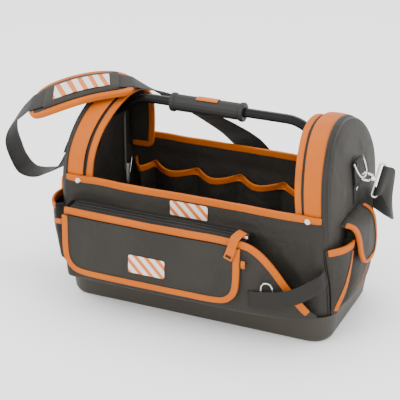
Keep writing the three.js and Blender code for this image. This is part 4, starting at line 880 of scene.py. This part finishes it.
for side, word in ((1, "right"), (-1, "left")):
    tape_rows_here = [(side * 0.264, -0.068, 0.158), (side * 0.262, -0.083, 0.105), (side * 0.256, -0.102, 0.055)]
    tool_tape = laid_strip(
        "tool_tape_" + word, ends[word + "_tool"], tape_rows_here, 0.009, 0.0012, 0.0004, orange_tape
    )
    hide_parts("tool_seam_" + word)
    ends[word + "_tape"] = tool_tape
    laid_strip(
        "rear_seam_" + word,
        ends[word + "_closed"],
        [(side * 0.266, 0.006, 0.100), (side * 0.264, -0.026, 0.068)],
        0.0035,
        0.0010,
        0.0003,
        orange_tape,
    )


# Piping: a cord in a folded strip of coated cloth, caught in the seams round each end and up its corners.
def corded(name, lines, radius, material):
    """A round cord along each line."""
    curve = bpy.data.curves.new(name, "CURVE")
    curve.dimensions = "3D"
    curve.bevel_depth = radius
    curve.bevel_resolution = 3
    curve.use_fill_caps = True
    for line in lines:
        spline = curve.splines.new("NURBS")
        spline.points.add(len(line) - 1)
        for point, spot in zip(spline.points, line):
            point.co = (*spot, 1)
        spline.use_endpoint_u = True
        spline.order_u = 4
        spline.resolution_u = 6
    carrier = bpy.data.objects.new(name + "_line", curve)
    bpy.context.collection.objects.link(carrier)
    mesh = bpy.data.meshes.new_from_object(carrier.evaluated_get(bpy.context.evaluated_depsgraph_get()))
    bpy.data.objects.remove(carrier)
    mesh.materials.clear()
    mesh.materials.append(material)
    mesh.shade_smooth()
    piece = bpy.data.objects.new(name, mesh)
    bpy.context.collection.objects.link(piece)
    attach(piece, "bag")
    return piece


coated = grained("coated_piping", (0.0050, 0.0046, 0.0038), (0.0110, 0.0100, 0.0085), 0.42, 900, 0.0001)
rim_half = (
    (0.237, -0.087, 0.053),
    (0.237, -0.103, 0.120),
    (0.235, -0.116, 0.171),
    (0.233, -0.122, 0.223),
    (0.229, -0.118, 0.267),
    (0.225, -0.106, 0.293),
    (0.221, -0.086, 0.315),
    (0.217, -0.061, 0.332),
    (0.214, -0.032, 0.342),
)
seam_half = (
    (0.233, -0.097, 0.053),
    (0.233, -0.110, 0.120),
    (0.227, -0.122, 0.171),
    (0.225, -0.125, 0.228),
    (0.221, -0.121, 0.268),
    (0.217, -0.108, 0.295),
    (0.213, -0.088, 0.317),
    (0.208, -0.062, 0.334),
    (0.205, -0.032, 0.345),
)
for side, word in ((1, "right"), (-1, "left")):
    cords = []
    for half, crown in ((rim_half, (0.212, 0, 0.3455)), (seam_half, (0.204, 0, 0.3485))):
        front = [(side * x, y, z) for x, y, z in half]
        rear = [(side * x, -y, z) for x, y, z in reversed(half)]
        cords.append(front + [(side * crown[0], 0, crown[2])] + rear)
    laid = [line for cord in cords for line in on_cloth(ends[word], [[Vector(spot) for spot in cord]], 0.0006)]
    corded("end_piping_" + word, laid, 0.0017, coated)
grey_piping = grained("grey_piping", (0.10, 0.096, 0.088), (0.16, 0.155, 0.145), 0.5, 900, 0.0001)
corded(
    "corner_piping",
    [[(side * 0.232, 0.104, z) for z in (0.150, 0.190, 0.230, 0.262)] for side in (-1, 1)],
    0.0020,
    grey_piping,
)

# Zip: a moulded coil runs down the middle of the band, between two rows of stitches.
def tooth_tree():
    """Teeth along a line, one at each step, lying across it."""
    tree = bpy.data.node_groups.new("zip_teeth", "GeometryNodeTree")
    sockets = tree.interface
    sockets.new_socket("Line", in_out="INPUT", socket_type="NodeSocketGeometry")
    for name, value in (("Pitch", 0.0018), ("Width", 0.0042), ("Length", 0.0011), ("Height", 0.0012)):
        sockets.new_socket(name, in_out="INPUT", socket_type="NodeSocketFloat").default_value = value
    sockets.new_socket("Finish", in_out="INPUT", socket_type="NodeSocketMaterial")
    sockets.new_socket("Teeth", in_out="OUTPUT", socket_type="NodeSocketGeometry")
    new = tree.nodes.new
    link = tree.links.new
    given = new("NodeGroupInput")
    result = new("NodeGroupOutput")
    curve = new("GeometryNodeMeshToCurve")
    steps = new("GeometryNodeResampleCurve")
    steps.mode = "LENGTH"
    tangent = new("GeometryNodeInputTangent")
    aligned = new("FunctionNodeAlignRotationToVector")
    aligned.axis = "X"
    size = new("ShaderNodeCombineXYZ")
    tooth = new("GeometryNodeMeshCube")
    placed = new("GeometryNodeInstanceOnPoints")
    real = new("GeometryNodeRealizeInstances")
    finish = new("GeometryNodeSetMaterial")
    link(given.outputs["Line"], curve.inputs["Mesh"])
    link(curve.outputs["Curve"], steps.inputs["Curve"])
    link(given.outputs["Pitch"], steps.inputs["Length"])
    link(tangent.outputs["Tangent"], aligned.inputs["Vector"])
    link(given.outputs["Length"], size.inputs["X"])
    link(given.outputs["Width"], size.inputs["Y"])
    link(given.outputs["Height"], size.inputs["Z"])
    link(size.outputs["Vector"], tooth.inputs["Size"])
    link(steps.outputs["Curve"], placed.inputs["Points"])
    link(tooth.outputs["Mesh"], placed.inputs["Instance"])
    link(aligned.outputs["Rotation"], placed.inputs["Rotation"])
    link(placed.outputs["Instances"], real.inputs["Geometry"])
    link(real.outputs["Geometry"], finish.inputs["Geometry"])
    link(given.outputs["Finish"], finish.inputs["Material"])
    link(finish.outputs["Geometry"], result.inputs["Teeth"])
    return tree


def band_line(offset):
    """A line along the zip band, at an offset from its middle."""
    top = [v.co for v in zip_band.data.vertices]
    line = []
    for k in range(39):
        x = -0.196 + k * 0.0075
        near = [spot for spot in top if abs(spot.x - x) < 0.012]
        middle = (min(spot.y for spot in near) + max(spot.y for spot in near)) / 2
        line.append(Vector((x, middle + offset, 0.200)))
    return line


coil = grained("zip_coil", (0.020, 0.019, 0.017), (0.040, 0.038, 0.034), 0.35, 1500, 0.00005)
coil_line = on_cloth(zip_band, [band_line(0)], 0.0003)
along_lines(
    "zip_teeth", coil_line, tooth_tree(), coil, {"Pitch": 0.0018, "Width": 0.0042, "Length": 0.0011, "Height": 0.0012}
)
grey_thread = grained("grey_thread", (0.060, 0.056, 0.050), (0.12, 0.112, 0.10), 0.6, 2200, 0.0001)
along_lines(
    "zip_stitches",
    on_cloth(zip_band, [band_line(-0.0085), band_line(0.0085)], 0.0002),
    stitch_row,
    grey_thread,
    {"Pitch": 0.0045, "Length": 0.0032, "Thread": 0.0008, "Height": 0.0006},
)


# Small hardware and tabs: a dark plate as painted shade in the slot punched in the zip's pull, two orange loops of
# tape sewn into the edges of the front pocket, and a strip of bare lining in the left rear corner.
def plate(name, centre, across, along, size, material):
    """A thin flat piece at a place: its sizes are across, along and through."""
    across = Vector(across).normalized()
    along = Vector(along).normalized()
    through = across.cross(along).normalized()
    form = bmesh.new()
    bmesh.ops.create_cube(form, size=1)
    for vertex in form.verts:
        x, y, z = vertex.co
        vertex.co = Vector(centre) + across * x * size[0] + along * y * size[1] + through * z * size[2]
    bmesh.ops.bevel(form, geom=form.edges[:], offset=min(size) * 0.25, segments=2, affect="EDGES")
    bmesh.ops.recalc_face_normals(form, faces=form.faces[:])
    mesh = bpy.data.meshes.new(name)
    form.to_mesh(mesh)
    form.free()
    mesh.uv_layers.new(name="weave")
    mesh.materials.append(material)
    mesh.shade_smooth()
    piece = bpy.data.objects.new(name, mesh)
    bpy.context.collection.objects.link(piece)
    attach(piece, "bag")
    return piece


hanging = sorted(strip_route("zip_pull", 0.015, 0.002), key=lambda row: row[0].z)
low, side_way, _ = hanging[0]
drop = (hanging[0][0] - hanging[1][0]).normalized()
# The slot is a dark plate set through the tab: painted shade in the opening.
plate("pull_slot_shade", low - drop * 0.006, side_way, drop, (0.008, 0.0026, 0.0030), coated)
plate("loop_left", (-0.2225, -0.157, 0.156), (1, 0, 0.05), (0, 0, 1), (0.018, 0.009, 0.0022), orange_rubber)
plate("loop_right", (0.1115, -0.1672, 0.1475), (1, 0, 0), (0, 0, 1), (0.007, 0.013, 0.0022), orange_rubber)
lining_edge = grained("bare_lining_cloth", (0.52, 0.50, 0.46), (0.64, 0.62, 0.58), 0.6, 1200, 0.0001)
plate("bare_lining", (-0.2295, 0.1075, 0.140), (0.7, 0.7, 0), (0, 0, 1), (0.006, 0.040, 0.0012), lining_edge)


# Rivets: a domed head, with a row of two inside each end where the handle's foot is
# fixed, and one through each ring tab.
def rivet_tree():
    """One domed head at the start of each short line, standing along it."""
    tree = bpy.data.node_groups.new("rivets", "GeometryNodeTree")
    sockets = tree.interface
    sockets.new_socket("Line", in_out="INPUT", socket_type="NodeSocketGeometry")
    for name, value in (("Head", 0.0085), ("Dome", 0.0036)):
        sockets.new_socket(name, in_out="INPUT", socket_type="NodeSocketFloat").default_value = value
    sockets.new_socket("Finish", in_out="INPUT", socket_type="NodeSocketMaterial")
    sockets.new_socket("Rivets", in_out="OUTPUT", socket_type="NodeSocketGeometry")
    new = tree.nodes.new
    link = tree.links.new
    given = new("NodeGroupInput")
    result = new("NodeGroupOutput")
    curve = new("GeometryNodeMeshToCurve")
    chosen = new("GeometryNodeCurveEndpointSelection")
    chosen.inputs["Start Size"].default_value = 1
    chosen.inputs["End Size"].default_value = 0
    tangent = new("GeometryNodeInputTangent")
    aligned = new("FunctionNodeAlignRotationToVector")
    aligned.axis = "Z"
    head = new("GeometryNodeMeshUVSphere")
    head.inputs["Segments"].default_value = 20
    head.inputs["Rings"].default_value = 10
    head.inputs["Radius"].default_value = 0.5
    size = new("ShaderNodeCombineXYZ")
    placed = new("GeometryNodeInstanceOnPoints")
    real = new("GeometryNodeRealizeInstances")
    finish = new("GeometryNodeSetMaterial")
    link(given.outputs["Line"], curve.inputs["Mesh"])
    link(tangent.outputs["Tangent"], aligned.inputs["Vector"])
    link(given.outputs["Head"], size.inputs["X"])
    link(given.outputs["Head"], size.inputs["Y"])
    link(given.outputs["Dome"], size.inputs["Z"])
    link(curve.outputs["Curve"], placed.inputs["Points"])
    link(chosen.outputs["Selection"], placed.inputs["Selection"])
    link(head.outputs["Mesh"], placed.inputs["Instance"])
    link(aligned.outputs["Rotation"], placed.inputs["Rotation"])
    link(size.outputs["Vector"], placed.inputs["Scale"])
    link(placed.outputs["Instances"], real.inputs["Geometry"])
    link(real.outputs["Geometry"], finish.inputs["Geometry"])
    link(given.outputs["Finish"], finish.inputs["Material"])
    link(finish.outputs["Geometry"], result.inputs["Rivets"])
    return tree


rivets = rivet_tree()
copper = grained("copper_rivet", (0.34, 0.20, 0.13), (0.56, 0.38, 0.28), 0.3, 1500, 0.00004)
copper.node_tree.nodes["Principled BSDF"].inputs["Metallic"].default_value = 1


def heads(name, piece, spots, away, finish, size):
    """Rivet heads on the face of a piece that looks a given way."""
    pins = []
    for spot in spots:
        start = Vector(spot) + Vector(away) * 0.03
        skin = BVHTree.FromPolygons(
            [v.co for v in piece.data.vertices], [p.vertices for p in piece.data.polygons]
        )
        hit, normal, _, _ = skin.ray_cast(start, -Vector(away))
        if hit is not None:
            pins.append([hit, hit + Vector(away) * 0.002])
    return along_lines(name, pins, rivets, finish, {"Head": size, "Dome": size * 0.42})


for side, word in ((1, "right"), (-1, "left")):
    heads(
        "foot_rivets_" + word,
        ends[word],
        [(side * 0.212, -0.074, 0.296), (side * 0.212, -0.074, 0.272)],
        (-side, 0, 0),
        copper,
        0.0085,
    )
    heads("tab_rivet_" + word, ends[word + "_tab"], [(side * 0.236, -0.003, 0.236)], (side, 0, 0), nickel, 0.007)

# Stitching in charcoal thread: along the front wall under its binding, in a short row lower on its right, between the
# inner pockets, round the foot of each ring tab and across each tool pocket.
dark_rows = on_cloth(
    front_wall,
    [
        dense([Vector((-0.222, -0.130, 0.2145)), Vector((0.222, -0.130, 0.2145))]),
        dense([Vector((0.118, -0.135, 0.1795)), Vector((0.222, -0.135, 0.178))]),
    ],
    0.0002,
)
for place in range(-2, 3):
    for gap in (-0.0015, 0.0015):
        x = place * 0.0727 + gap
        dark_rows += on_cloth(inner_row, [dense([Vector((x, 0.080, 0.068)), Vector((x, 0.080, 0.138))])], 0.0002)
for side, word in ((1, "right"), (-1, "left")):
    box = [(-0.014, 0.218), (0.014, 0.218), (0.014, 0.244), (-0.014, 0.244), (-0.014, 0.218), (0.014, 0.244)]
    dark_rows += on_cloth(
        ends[word + "_tab"], [dense([Vector((side * 0.25, y, z)) for y, z in box])], 0.0002
    )
    dark_rows += on_cloth(
        ends[word + "_tool"],
        [dense([Vector((side * 0.27, y, 0.150 - 0.02 * (y + 0.12) / 0.05)) for y in (-0.118, -0.07)])],
        0.0002,
    )
along_lines(
    "cloth_stitches",
    dark_rows,
    stitch_row,
    dark_thread,
    {"Pitch": 0.0042, "Length": 0.003, "Thread": 0.0007, "Height": 0.0006},
)
